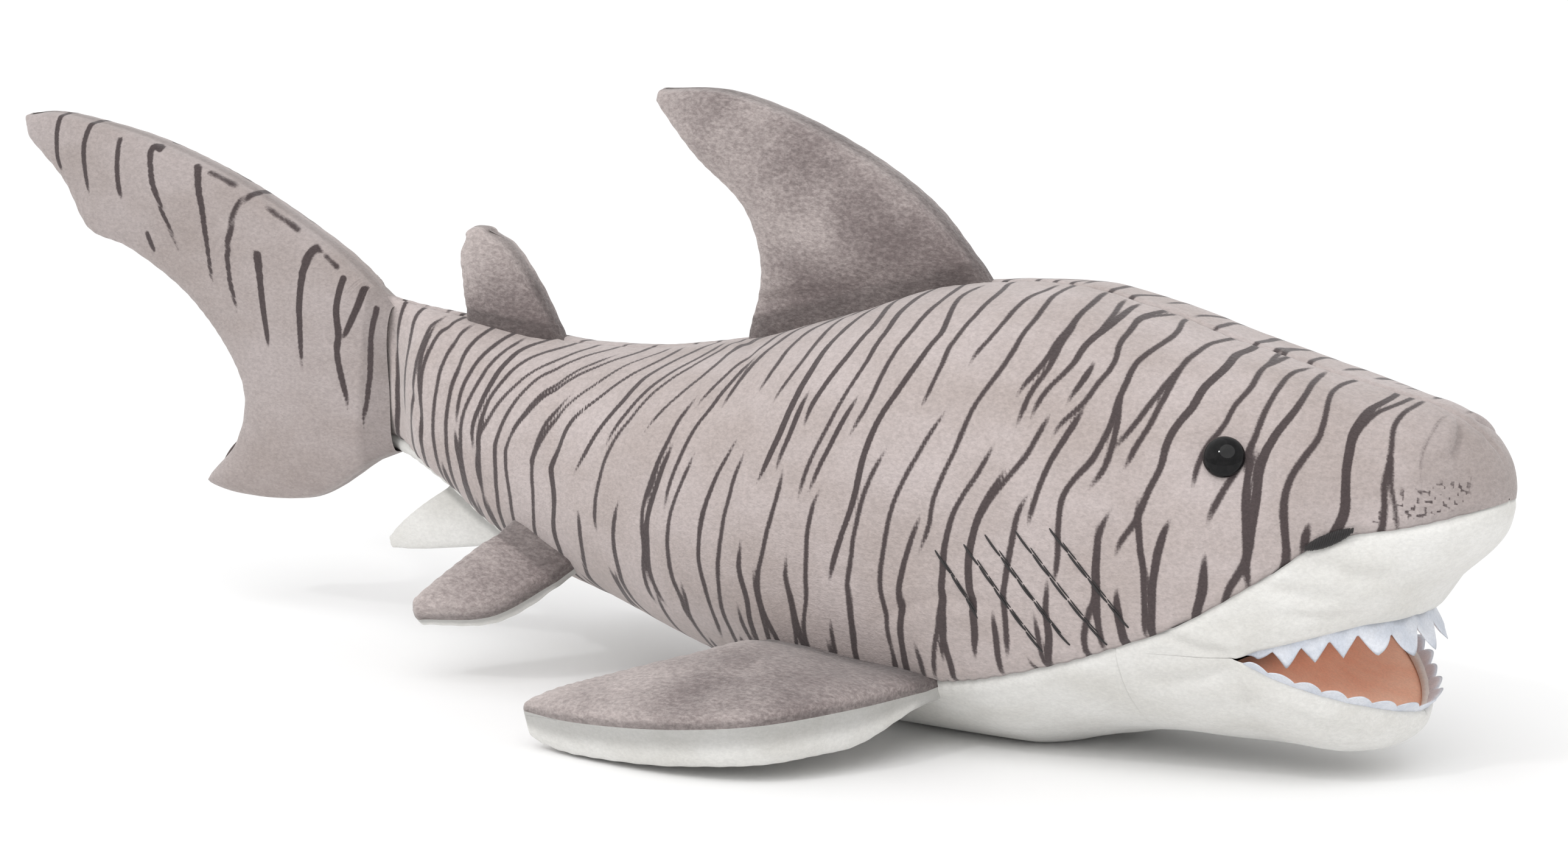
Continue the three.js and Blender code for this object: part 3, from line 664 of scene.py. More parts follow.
def seam_relief(distance, run, depth=1.25, width=1.5, pucker=0.28):
    """The groove that a seam pulls in, with small puckers beside it. distance and run are in mm."""
    groove = -depth * np.exp(-((distance / width) ** 2))
    phase = run / 6.2 + 0.8 * np.sin(run / 17.0) + 0.5 * np.sin(run / 7.3 + 1)
    puckers = pucker * np.sin(2 * math.pi * phase) * np.exp(-np.abs(distance) / 5.5)
    return groove + puckers


def fold_relief(x, q, folds):
    """Creases across the skin. Each fold is (x0, q0, x1, q1, depth, width)."""
    total = np.zeros(np.broadcast(x, q).shape)
    for x0, q0, x1, q1, depth, width in folds:
        span = math.hypot(x1 - x0, q1 - q0)
        ux, uq = (x1 - x0) / span, (q1 - q0) / span
        t = ((x - x0) * ux + (q - q0) * uq) / span
        bow = 0.08 * span * np.sin(math.pi * np.clip(t, 0, 1))
        off = -(x - x0) * uq + (q - q0) * ux + bow
        fade = np.clip(np.minimum(t, 1 - t) * 4 + 0.25, 0, 1)
        total += fade * depth * (0.55 * np.exp(-(((off - 2.2 * width) / (1.6 * width)) ** 2))
                                 - np.exp(-((off / width) ** 2)))
    return total


BACK_FOLDS = [(-30, 128, 12, 120, 0.7, 2.2), (-112, 6, -92, 34, 0.5, 2.0), (-226, 6, -206, 30, 0.5, 1.8),
              (-172, 20, -158, 60, 0.5, 2.6), (-232, 30, -220, 52, 0.4, 1.6), (-246, 12, -244, 46, 0.7, 1.5)]
NOSE_DART = [(128.0, 4, 131.6, 19, 1.2, 1.3), (126.0, 27, 131.4, 18.6, 0.45, 1.4)]


def painted_seam_shade(distance, width=0.7):
    """How much painted shade lies along a seam, from 1 on it to 0 away from it."""
    return np.exp(-((distance / width) ** 2))


def pushed(points, amount):
    """Points moved along the surface's own normal, outward on the right side."""
    normal = grid_normals(points)
    outward = np.sign((normal * np.array([0, -1, 0])).sum(axis=(0, 1)).sum() + 1e-9)
    return points + outward * normal * amount[..., None]


def snout_speckle(points, run, to_side):
    """Ink of the fine dots printed on the snout, a little above the side seam."""
    dots = smoothstep(0.1, 0.34, smooth_noise(points, 0.95, 14))
    patches = smoothstep(-0.6, 0.05, smooth_noise(points, 5, 15))
    band = smoothstep(0.8, 3, to_side) * smoothstep(17, 9, to_side)
    return 0.6 * dots * patches * band * smoothstep(110, 116, run) * smoothstep(139.5, 135, run)


def back_skin(side, seed):
    """The striped skin of one side, from the back seam to the side seam, tail to snout."""
    x = stations(TAIL_TUCK_X, NOSE_END_X, 0.8, body_section)
    grid, around = rings(x, body_section)
    seam = side_seam(grid, around, x)
    points, q = strip(grid, around, np.zeros(len(x)), seam, np.linspace(0, 1, 116))
    run = x[:, None] + 0 * q
    to_side = seam[:, None] - q
    fade = np.clip(seam / 30, 0, 1)[:, None]
    relief = lumps(points) + fade * seam_relief(to_side, run)
    relief = relief + fade * seam_relief(q, run + 40, depth=0.8, width=1.2, pucker=0.12)
    dart = fold_relief(run, q, NOSE_DART)
    relief = (relief + fold_relief(run, q, BACK_FOLDS) * fade + dart) * np.clip((NOSE_X - run) / 4, 0, 1)
    points = pushed(points, relief)
    points[:, 0, 1] = 0
    ink = ink_from(body_strokes(seed), run + 0.4 * smooth_noise(points, 7, 9), q)
    ink = ink * (0.62 + 0.38 * smoothstep(128, 112, run)) * smoothstep(138, 122, run)
    ink = np.maximum(ink, snout_speckle(points, run, to_side))
    # Painted shade along the side and back seams, in the nose dart's fold and where the stalk tucks into the
    # tail fin, and a plain darkening towards the snout.
    crease = np.max([fade * painted_seam_shade(to_side),
                     fade * 0.6 * painted_seam_shade(q, 0.6),
                     np.clip(-dart * 0.9, 0, 0.8),
                     0.22 * smoothstep(60, 108, run) + 0.3 * smoothstep(114, 134, run),
                     0.8 * smoothstep(TAIL_END_X + 5, TAIL_END_X, run)], axis=0)
    left = side == "left"
    obj = grid_object(f"body_skin_{side}", mirror(points) if left else points, MATERIALS["striped_plush"],
                      flip=left, attributes={"ink": ink, "crease": crease})
    stand_for([f"back_panel_{side}", f"rear_panel_{side}"])
    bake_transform(obj)


def both_sides(points):
    """A right half from the side to the middle, carried on up the left side."""
    left = mirror(points)[:, ::-1]
    return np.concatenate([points, left[:, 1:]], axis=1)


def belly_skin():
    """The white underside from the tail to the throat, one strip from side seam to side seam."""
    x = stations(TAIL_TUCK_X, THROAT_X + THROAT_LAP, 1.3, body_section)
    grid, around = rings(x, body_section)
    seam = side_seam(grid, around, x)
    points, q = strip(grid, around, seam, around[:, -1], 1 - (1 - np.linspace(0, 1, 56)) ** 1.25)
    run = x[:, None] + 0 * q
    relief = lumps(points) + seam_relief(q - seam[:, None], run)
    relief = relief - 0.35 * smoothstep(THROAT_X - THROAT_LAP, THROAT_X + THROAT_LAP / 2, run)
    relief = np.where(points[..., 2] < REST_Z, np.maximum(relief, 0) * 0.2, relief)
    points = pushed(points, relief)
    points[..., 2] = np.maximum(points[..., 2], FLOOR_GAP)
    points[:, -1, 1] = 0
    # Painted shade along both side seams.
    crease = painted_seam_shade(q - seam[:, None])
    whole_crease = np.concatenate([crease, crease[:, ::-1][:, 1:]], axis=1)
    obj = grid_object("belly_skin", both_sides(points), MATERIALS["white_plush"], False,
                      {"crease": whole_crease})
    nodes = ["belly_panel", "rear_belly_panel", "trunk_stuffing", "rear_stuffing"]
    stand_for(nodes)
    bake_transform(obj)


def lip_roll(edge, normal, radius, upward):
    """Rows that carry a skin's edge round a soft lip and inward. edge and normal run along the lip. upward is
    1 where the skin runs up to its lip and -1 where it runs down to it."""
    middle = len(edge) // 2
    if normal[middle, 1] > 0:
        normal = -normal
    onward = np.cross(normal, unit(np.gradient(edge, axis=0)))
    if onward[middle, 2] * upward < 0:
        onward = -onward
    rows = [edge]
    for angle in np.linspace(0, math.pi, 9)[1:]:
        rows.append(edge - radius[:, None] * normal * (1 - math.cos(angle))
                    + radius[:, None] * onward * math.sin(angle))
    return np.stack(rows, axis=1)


def lipped_skin(name, points, roll, crease, roll_flip):
    """A skin with a rolled lip, from its right half."""
    plain = np.zeros(roll.shape[:2])
    obj = grids_object(name, [points, mirror(points), roll, mirror(roll)], MATERIALS["white_plush"],
                       [False, True, roll_flip, not roll_flip], {"crease": [crease, crease, plain, plain]})
    merge_close(obj)
    return obj


def mouth_stations(section, height, x1):
    """Places along the mouth that keep the lip's own outline smooth where it rounds the front."""
    towards_front = x1 - np.linspace(0, 1, 1500) ** 3 * 12
    dense = np.unique(np.concatenate([np.linspace(THROAT_X, x1, 3000), towards_front]))
    travelled = length_along(lip_line(dense, section, height))
    even = np.interp(np.arange(0, travelled[-1], 1.2), travelled, dense)
    return np.unique(np.append(even, x1))


LIP = 1.7


def upper_lip_height(x):
    """Where the muzzle's skin ends: the cheek line behind the corner, then the mouth's own slope."""
    raised = smoothstep(HINGE_X, HINGE_X + 6, x) * (1 - smoothstep(MOUTH_FRONT_X - 9, MOUTH_FRONT_X, x))
    return np.where(x < HINGE_X, HINGE_Z, mouth_plane_z(x) + LIP * raised)


def lower_lip_height(x):
    return np.where(x < HINGE_X, HINGE_Z, jaw_rim_z(x) - LIP * smoothstep(HINGE_X, HINGE_X + 6, x))


def lip_radius(x):
    return LIP * smoothstep(HINGE_X - 1, HINGE_X + 6, x)


def lip_calm(run, from_lip):
    """Keeps the lips of the open mouth free of lumps, but leaves the cheek behind its corner alone."""
    return 1 - (1 - smoothstep(0, 5, from_lip)) * smoothstep(HINGE_X - 2, HINGE_X + 4, run)


FACE_FOLDS = [(54, 50, 80, 40, 1.1, 1.7), (52, 31, 79, 37, 0.9, 1.6), (58, 22, 86, 29, 0.6, 1.9),
              (86, 63, 106, 57, 0.9, 2.3), (97, 70, 120, 63, 0.9, 2.5), (90, 53, 112, 53, 0.6, 1.8),
              (92, 24, 108, 16, 0.6, 2.2)]


def muzzle_skin():
    """The white upper lip and cheeks, with the underside of the snout, and a soft rolled lip."""
    back = mouth_stations(body_section, upper_lip_height, MOUTH_FRONT_X)
    front = stations(MOUTH_FRONT_X, NOSE_END_X, 1.0, body_section)[1:]
    x = np.concatenate([back, front])
    grid, around = rings(x, body_section)
    seam = side_seam(grid, around, x)
    end = np.where(x >= MOUTH_FRONT_X, around[:, -1], around_at_height(grid, around, upper_lip_height(x)))
    points, q = strip(grid, around, seam, end, np.linspace(0, 1, 60))
    run = x[:, None] + 0 * q
    to_seam = q - seam[:, None]
    relief = lumps(points) + seam_relief(to_seam, run) + fold_relief(run, points[..., 2], FACE_FOLDS)
    relief = relief * np.clip((NOSE_X - run) / 4, 0, 1)
    relief = np.where(run < MOUTH_FRONT_X, relief * lip_calm(run, end[:, None] - q), relief)
    points = pushed(points, relief)
    points[x >= MOUTH_FRONT_X, -1, 1] = 0
    lip = len(back)
    roll = lip_roll(points[:lip, -1], grid_normals(points)[:lip, -1], lip_radius(back), -1)
    # Painted shade along the side seam.
    obj = lipped_skin("muzzle_skin", points, roll, painted_seam_shade(to_seam), False)
    stand_for(["muzzle_panel"])
    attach(obj, "trunk")


def jaw_skin():
    """The throat and lower jaw, as one skin."""
    x = mouth_stations(jaw_section, lower_lip_height, CHIN_X - 0.05)
    grid, around = rings(x, jaw_section)
    start = around_at_height(grid, around, lower_lip_height(x))
    points, q = strip(grid, around, start, around[:, -1], 1 - (1 - np.linspace(0, 1, 54)) ** 1.2)
    run = x[:, None] + 0 * q
    relief = lumps(points) + fold_relief(run, points[..., 2], FACE_FOLDS)
    relief = relief * np.clip((CHIN_X - run) / 10, 0, 1)
    seam = side_seam(grid, around, x)
    relief = relief + smoothstep(HINGE_X, HINGE_X - 15, run) * seam_relief(q - seam[:, None], run)
    relief = np.where(points[..., 2] < REST_Z, 0, relief * lip_calm(run, q - start[:, None]))
    points = pushed(points, relief)
    points[..., 2] = np.maximum(points[..., 2], FLOOR_GAP)
    points[:, -1, 1] = 0
    roll = lip_roll(points[:, 0], grid_normals(points)[:, 0], lip_radius(x), 1)
    obj = lipped_skin("jaw_skin", points, roll, np.zeros(q.shape), True)
    stand_for(["jaw_panel", "jaw_stuffing"])
    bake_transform(obj)


# ---- the inside of the mouth ----


def lining(name, node, section, height, x1, sag, inset, lift):
    """A fabric sheet across one side of the mouth, from one lip to the other."""
    front = x1 - 6 * (1 - np.linspace(0, 1, 24)[1:]) ** 2
    x = np.concatenate([np.linspace(HINGE_X - 1.5, x1 - 6, 40), front])
    edge = lip_line(x, section, height)[:, 1]
    across = np.linspace(-1, 1, 49)
    y = np.maximum(-edge - inset, 0.3)[:, None] * across
    open_share = smoothstep(HINGE_X, HINGE_X + 14, x)[:, None]
    z = height(x)[:, None] + lift + sag * open_share * (1 - np.abs(across) ** 2.4)
    points = np.stack([x[:, None] + 0 * y, y, z], axis=-1)
    points[..., 2] += 0.22 * smooth_noise(points, 9, 21)
    # Painted shade, darkest at the back corner of the mouth.
    crease = np.clip(1 - (x[:, None] - HINGE_X) / 7, 0, 1) * np.ones_like(y) * 0.8
    obj = grid_object(name, points, MATERIALS["mouth_lining"], flip=sag < 0, attributes={"crease": crease})
    stand_for([node])
    return obj


def mouth_linings():
    """The palate, and the tongue, which follows the lower lip."""
    palate = lining("palate_cloth", "palate_lining", body_section, upper_lip_height,
                    MOUTH_FRONT_X - 1.5, sag=2.6, inset=2.2, lift=0.2)
    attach(palate, "trunk")
    tongue = lining("tongue_cloth", "tongue_lining", jaw_section, lambda x: jaw_rim_z(x) - 1.7,
                    CHIN_X - 3.0, sag=-2.4, inset=2.2, lift=-0.2)
    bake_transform(tongue)


def mouth_edge(section, height, x1, inset):
    """The lip's outline seen from above, from the right corner round the front to the left corner, moved
    inward by inset, with the direction out of the mouth at each point."""
    x = mouth_stations(section, height, x1)
    x = x[x > HINGE_X + 1.5]
    edge = lip_line(x, section, height)
    whole = np.concatenate([edge, mirror(edge)[::-1][1:]])
    tangent = unit(np.gradient(whole[:, :2], axis=0))
    inward = np.stack([-tangent[:, 1], tangent[:, 0], 0 * tangent[:, 0]], axis=-1)
    if inward[0, 1] < 0:
        inward = -inward
    return whole + inset * inward, -inward


FELT_THICKNESS = 1.2


def teeth_strip(name, node, edge, outward, count, valley, tip, direction, flare, blunt, front_growth):
    """One strip of felt along a lip, cut into teeth that point up or down by direction. valley and tip are
    how far it reaches between teeth and at them, and flare is how far the teeth lean out. blunt from 0 to 1
    rounds them, and those at the front of the mouth are larger, blunter and flared more, by front_growth."""
    samples = count * 16 + 1
    travelled = length_along(edge)
    place = np.linspace(0, travelled[-1], samples)
    line, out = (np.stack([np.interp(place, travelled, values[:, axis]) for axis in range(3)], axis=-1)
                 for values in (edge, outward))
    out = unit(out)
    from_front = line[:, 0].max() - line[:, 0]
    crowding = 1 - 0.25 * front_growth * smoothstep(10, 3, from_front)
    phase = np.concatenate([[0], np.cumsum(crowding[1:] + crowding[:-1])])
    phase *= count / phase[-1]
    number = np.minimum(phase.astype(int), count - 1)
    heights = np.random.default_rng(SEED + count).uniform(0.88, 1.1, count)[number]
    saw = 1 - np.abs(2 * (phase - np.floor(phase)) - 1)
    saw[-1] = 0
    in_front = smoothstep(10, 2, from_front) * front_growth
    soft = np.clip(blunt + 0.9 * in_front, 0, 1)
    saw = (1 - soft) * saw + soft * np.sin(saw * math.pi / 2) ** 0.65
    heights = heights * (1 + 0.4 * in_front)
    opening = mouth_plane_z(line[:, 0]) - jaw_rim_z(line[:, 0])
    reach = np.minimum(valley, 0.36 * opening) + saw * heights * np.minimum(tip - valley, 0.55 * opening)
    levels = np.linspace(0, 1, 9)
    depth = reach[:, None] * levels
    lean = (flare + 0.55 * in_front)[:, None] * (levels**1.5) * reach[:, None]
    line, out = line[:, None, :], out[:, None, :]
    middle = line + np.array([0, 0, direction]) * depth[..., None] + out * lean[..., None]
    middle = middle + out * (0.25 * smooth_noise(middle, 5, 31))[..., None]
    half_felt = out * 0.5 * FELT_THICKNESS * np.sqrt(np.clip(1 - levels[:, None] ** 8, 0, 1))
    # Painted shade along the teeth's root, where the felt meets the lip.
    crease = 0.75 * (1 - smoothstep(0, 0.35, levels)) + 0 * depth
    obj = grids_object(name, [middle + half_felt, middle - half_felt], MATERIALS["white_felt"],
                       [direction > 0, direction < 0], {"crease": [crease, crease]})
    merge_close(obj)
    stand_for([node])
    return obj


def teeth():
    edge, out = mouth_edge(body_section, upper_lip_height, MOUTH_FRONT_X - 0.2, 2.4)
    upper = teeth_strip("upper_teeth_felt", "upper_teeth", edge, out, count=13, valley=3.2, tip=9.0,
                        direction=-1, flare=0.12, blunt=0.0, front_growth=0.75)
    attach(upper, "trunk")
    edge, out = mouth_edge(jaw_section, lambda x: jaw_rim_z(x) - 0.6, CHIN_X - 0.3, 1.5)
    lower = teeth_strip("lower_teeth_felt", "lower_teeth", edge, out, count=15, valley=1.8, tip=3.7,
                        direction=1, flare=0.95, blunt=0.8, front_growth=0.25)
    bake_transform(lower)


# ---- things sewn or fixed to the head ----


def half_width_at(x, z):
    half, widest, up, down = (float(v[0]) for v in body_section(np.array([float(x)])))
    reach = up if z > widest else down
    share = min(1.0, abs(z - widest) / reach)
    return half * (1 - share**SECTION_POWER) ** (1 / SECTION_POWER)


def on_skin(x, z, lift):
    """A point on the right side of the head at x and z, lifted off the skin, and the direction out of it."""
    step = 1.0
    y = -half_width_at(x, z)
    along_x = np.array([2 * step, -half_width_at(x + step, z) + half_width_at(x - step, z), 0])
    along_z = np.array([0, -half_width_at(x, z + step) + half_width_at(x, z - step), 2 * step])
    out = unit(np.cross(along_x, along_z))
    if out[1] > 0:
        out = -out
    base = np.array([x, y, z])
    relief = float(lumps(base[None, :])[0])
    return base + out * (lift + relief), out


def thread(line, radius, sides, flat):
    """A thread on the right side's skin, as rings of points. line is its points as (x, z, lift) and radius
    is one number per point; flat squeezes it towards the skin."""
    path, up = (np.array(part) for part in zip(*(on_skin(*point) for point in line)))
    tangent = unit(np.gradient(path, axis=0))
    side = unit(np.cross(tangent, up))
    over = np.cross(side, tangent)
    turn = np.linspace(0, 2 * math.pi, sides + 1)
    return (path[:, None, :]
            + radius[:, None, None] * (np.cos(turn)[None, :, None] * side[:, None, :]
                                       + flat * np.sin(turn)[None, :, None] * over[:, None, :]))


GILLS = [((-8.5, 62.5), (6, 43.5)), ((1.5, 65), (24.5, 36.5)), ((8.5, 68.5), (33, 39.5)),
         ((18.5, 70.5), (44, 40.5)), ((29, 72.5), (51, 46.5))]


# Each strand of a gill: how far it lies beside the line, its radius, and where along the line it runs.
GILL_STRANDS = [(0.0, 0.37, -0.04, 1.0), (0.75, 0.22, 0.12, 0.9)]


def sew(name, node, grids):
    """The same threads on both sides of the head. {} in the names stands for the side."""
    for side in ("right", "left"):
        placed = grids if side == "right" else [mirror(grid) for grid in grids]
        flips = [side == "left"] * len(placed)
        obj = grids_object(name.format(side), placed, MATERIALS["black_thread"], flips, {})
        stand_for([node.format(side)])
        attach(obj, "trunk")


def gill_threads():
    """Five slanting gill lines each side, each a run of long stitches with a thinner one beside it."""
    rng = np.random.default_rng(SEED + 77)
    stations_along = np.linspace(0, 1, 9)
    swell = 0.45 + 0.55 * np.sin(math.pi * np.linspace(0.05, 0.95, 9)) ** 0.4
    for number, (start, end) in enumerate(GILLS, 1):
        start, end = np.array(start, float), np.array(end, float)
        length = np.linalg.norm(end - start)
        across = np.array([start[1] - end[1], end[0] - start[0]]) / length
        stitches = max(3, int(length / 7))
        grids = []
        for offset, thick, first, last in GILL_STRANDS:
            for k in range(stitches):
                a = first + (last - first) * k / stitches + 0.004
                b = first + (last - first) * (k + 1) / stitches - 0.004
                shift = offset + rng.uniform(-0.12, 0.12)
                line = []
                for share in stations_along:
                    t = a + (b - a) * share
                    x, z = start + (end - start) * t + across * (shift + 0.4 * math.sin(math.pi * t))
                    line.append((x, z, 0.32 * math.sin(math.pi * share) ** 0.5 - 0.12))
                grids.append(thread(line, thick * swell, 8, 0.8))
        sew(f"gill_stitches_{{}}_{number}", f"gill_thread_{{}}_{number}", grids)


NOSTRIL_BACK = np.array([98.0, 71.9])
NOSTRIL_FRONT = np.array([109.8, 77.3])
NOSTRIL_HALF_WIDTH = 1.6


def nostrils():
    """A satin-stitched slit each side: close threads laid across it over a raised bed."""
    start, end, half = NOSTRIL_BACK, NOSTRIL_FRONT, NOSTRIL_HALF_WIDTH
    forward = unit(end - start)
    across = np.array([-forward[1], forward[0]])
    threads = 30
    grids = []
    rng = np.random.default_rng(SEED + 5)
    for t in (np.arange(threads) + 0.5) / threads:
        reach = half * max(0.32, math.sin(math.pi * t) ** 0.55) + rng.uniform(-0.08, 0.08)
        line = []
        for side in np.linspace(-1, 1, 9):
            x, z = start + (end - start) * t + across * reach * side + forward * 0.35 * side
            line.append((x, z, 0.7 * math.sqrt(1 - 0.98 * side * side) + 0.5))
        grids.append(thread(line, np.full(9, 0.27), 7, 1.0))
    sew("nostril_satin_{}", "nostril_stitch_{}", grids)


EYE_AT = (75, 96)
EYE_RADIUS = 6.0
EYE_DOME = 4.2
EYE_RIM = 0.7  # how far the dome's edge stands off the skin


def eyes():
    """Glossy black safety eyes: a dome with a rounded rim, seated on the skin."""
    centre, out = on_skin(*EYE_AT, 0.0)
    side = unit(np.cross(out, [0, 0, 1.0]))
    over = np.cross(side, out)
    profile = [(0.01, EYE_DOME)]
    for step in range(1, 19):
        angle = math.pi / 2 * (1 - step / 18)
        profile.append((EYE_RADIUS * math.cos(angle), EYE_RIM + (EYE_DOME - EYE_RIM) * math.sin(angle)))
    for angle in np.linspace(0.2, 1.4, 6):
        profile.append((EYE_RADIUS - 0.5 * (1 - math.cos(angle)), EYE_RIM - 0.9 * math.sin(angle)))
    profile.append((EYE_RADIUS - 1.5, -1.2))
    radii, heights = (values[:, None, None] for values in np.array(profile).T)
    turn = np.linspace(0, 2 * math.pi, 49)[:, None]
    grid = centre + radii * (np.cos(turn) * side + np.sin(turn) * over) + heights * out
    for name, placed in (("right", grid), ("left", mirror(grid))):
        obj = grid_object(f"eye_dome_{name}", placed, MATERIALS["eye_plastic"], name == "left", {})
        merge_close(obj)
        stand_for([f"eye_{name}", f"eye_washer_{name}"])
        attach(obj, "trunk")


# ---- fins ----


def catmull_rom(points, t):
    """A point on the centripetal Catmull-Rom curve through points, as three.js makes it."""
    points = np.array(points, float)
    place = (len(points) - 1) * min(max(t, 0), 1)
    k = min(int(place), len(points) - 2)
    weight = place - k
    p1, p2 = points[k], points[k + 1]
    p0 = points[k - 1] if k > 0 else 2 * points[0] - points[1]
    p3 = points[k + 2] if k + 2 < len(points) else 2 * points[-1] - points[-2]
    d0, d1, d2 = (max(np.dot(b - a, b - a) ** 0.25, 1e-4) for a, b in ((p0, p1), (p1, p2), (p2, p3)))
    t1 = ((p1 - p0) / d0 - (p2 - p0) / (d0 + d1) + (p2 - p1) / d1) * d1
    t2 = ((p2 - p1) / d1 - (p3 - p1) / (d1 + d2) + (p3 - p2) / d2) * d1
    c2 = -3 * p1 + 3 * p2 - 2 * t1 - t2
    c3 = 2 * p1 - 2 * p2 + t1 + t2
    return p1 + t1 * weight + c2 * weight**2 + c3 * weight**3


# Each fin's edges, from root to tip, and its shape: how far it bulges over and under, how fast it grows
# round from its edges, how thick its root is, the body it is sewn to, and which way that body lies. A fold
# runs from one place to another, each as its share across and up the fin, with a depth and a width.
FINS = {
    "first_dorsal": {
        "leading": [(-29, 0, 136), (-50, 0, 156), (-84, 0, 174), (-120, 0, 184.3), (-142.5, 0, 183.6)],
        "trailing": [(-111, 0, 113), (-106.5, 0, 129), (-112, 0, 147), (-130, 0, 162), (-145, 0, 177.5)],
        "over": 11.0, "round": 9, "root": 6.5, "parent": "trunk", "inward": (0, 0, -1),
        "folds": [(0.98, 0.10, 0.42, 0.015, 0.9, 0.035), (0.9, 0.2, 0.55, 0.13, 0.35, 0.03),
                  (0.5, 0.05, 0.1, 0.02, 0.5, 0.03)],
    },
    "second_dorsal": {
        "leading": [(-184, 0, 105.5), (-194, 0, 120.5), (-202.8, 0, 130.8), (-209.5, 0, 134.2)],
        "trailing": [(-219, 0, 109), (-219.8, 0, 118), (-220.8, 0, 126), (-219, 0, 131.5)],
        "over": 7.5, "round": 5, "root": 5.5, "parent": "rear_body", "inward": (0, 0, -1),
    },
    "anal_fin": {
        "leading": [(-199, 0, 34), (-223, 0, 30), (-240, 0, 27.5), (-248, 0, 27)],
        "trailing": [(-228, 0, 50.5), (-238.5, 0, 43.5), (-246, 0, 37.5), (-250.5, 0, 33)],
        "over": 6.5, "round": 5, "root": 4.0, "parent": "rear_body", "inward": (0.5, 0, 1),
    },
    "caudal_fin": {
        "leading": [(-255.5, 0, 113.5), (-256.5, 0, 114.5), (-257.5, 0, 115.3), (-259, 0, 116.5),
                    (-270, 0, 124), (-310, 0, 143.5), (-345, 0, 155), (-372, 0, 160), (-390, 0, 161.8),
                    (-400, 0, 160.3)],
        "trailing": [(-255.5, 0, 55), (-283, 0, 40), (-325, 0, 42.5), (-312.5, 0, 58), (-309.5, 0, 75),
                     (-328, 0, 100), (-356, 0, 116.5), (-374, 0, 122), (-385, 0, 138), (-399, 0, 150)],
        "over": 10.5, "round": 9, "root": 7.5, "parent": "rear_body", "inward": (1, 0, 0),
    },
    "pectoral_right": {
        "leading": [(-14, -56, 20), (-20, -88, 20), (-36, -112, 18), (-62, -119, 15), (-98, -116, 12),
                    (-118, -111, 11.5)],
        "trailing": [(-75, -53, 25), (-76, -61, 26), (-84, -77, 24), (-100, -92, 19.5), (-113, -101, 15.5),
                     (-120, -108, 12.5)],
        "over": 5.5, "under": 17.0, "round": 9, "root": 4.0, "parent": "trunk", "inward": (0, 1, 0.1),
    },
    "pelvic_right": {
        "leading": [(-160, -35.5, 32), (-173, -51.5, 22.5), (-195, -58.5, 20)],
        "trailing": [(-186, -31.5, 42.5), (-193, -43, 34), (-200, -54, 25.5)],
        "over": 7.5, "round": 5, "root": 4.5, "parent": "rear_body", "inward": (0, 1, 0.3),
    },
}

# How blunt a panel's edge is. A smaller number fills it out nearer to the seam.
OVER_BLUNTNESS = 0.5
UNDER_BLUNTNESS = 0.24


def root_run(edge, inward, below):
    """An edge of a fin carried on into the body, in its own direction but bent inward."""
    direction = unit(unit(edge[0] - edge[2]) + 0.4 * inward)
    return np.concatenate([edge[0] + below[:, None] * direction, edge])


def distance_to(line, points):
    """How far each point of a grid is from a line through a row of points."""
    nearest = np.full(points.shape[:2], np.inf)
    for start, step in zip(line[:-1], np.diff(line, axis=0)):
        t = np.clip(((points - start) @ step) / max((step**2).sum(), 1e-9), 0, 1)
        away = points - start - t[..., None] * step
        nearest = np.minimum(nearest, (away**2).sum(axis=-1))
    return np.sqrt(nearest)


def across(vector, line):
    """The part of a vector that is square to a line, as a unit vector."""
    line = unit(line)
    return unit(vector - line * np.dot(vector, line))


def fin_outline(spec, rows, columns):
    """The fin's middle sheet with its root run on into the body: its edges, its points, its unit normal, and
    each point's place across (u) and up (v) the fin."""
    v = 1 - (1 - np.linspace(0, 1, rows)) ** 1.4
    u = 0.5 - 0.5 * np.cos(math.pi * np.linspace(0, 1, columns))
    lead = np.array([catmull_rom(spec["leading"], t) for t in v])
    trail = np.array([catmull_rom(spec["trailing"], t) for t in v])
    normal = unit(np.cross(trail[0] - lead[0], lead[-1] - lead[0]))
    inward = across(np.array(spec["inward"], float), normal)
    below = np.linspace(ROOT_DEPTH, 0, ROOT_ROWS, endpoint=False)
    lead = root_run(lead, inward, below)
    trail = root_run(trail, inward, below)
    v = np.concatenate([np.zeros(ROOT_ROWS), v])[:, None] + 0 * u
    tip_width = np.linalg.norm(trail[-1] - lead[-1])
    tipward = unit(lead[-1] + trail[-1] - lead[-6] - trail[-6])
    cap = 0.34 * tip_width * np.sqrt(4 * u * (1 - u)) * v**6
    flat = lead[:, None, :] + (trail - lead)[:, None, :] * u[None, :, None] + cap[..., None] * tipward
    return lead, trail, flat, normal, u + 0 * v, v


def fin_edges(lead, trail, flat):
    """How far each point of a fin is from its leading and its trailing edge, which meet at its tip."""
    middle = flat.shape[1] // 2
    lead_side = distance_to(np.concatenate([lead, flat[-1, :middle:2]]), flat)
    trail_side = distance_to(np.concatenate([trail, flat[-1, :middle:-2]]), flat)
    lead_side[:, 0] = trail_side[:, -1] = lead_side[-1] = trail_side[-1] = 0
    return lead_side, trail_side


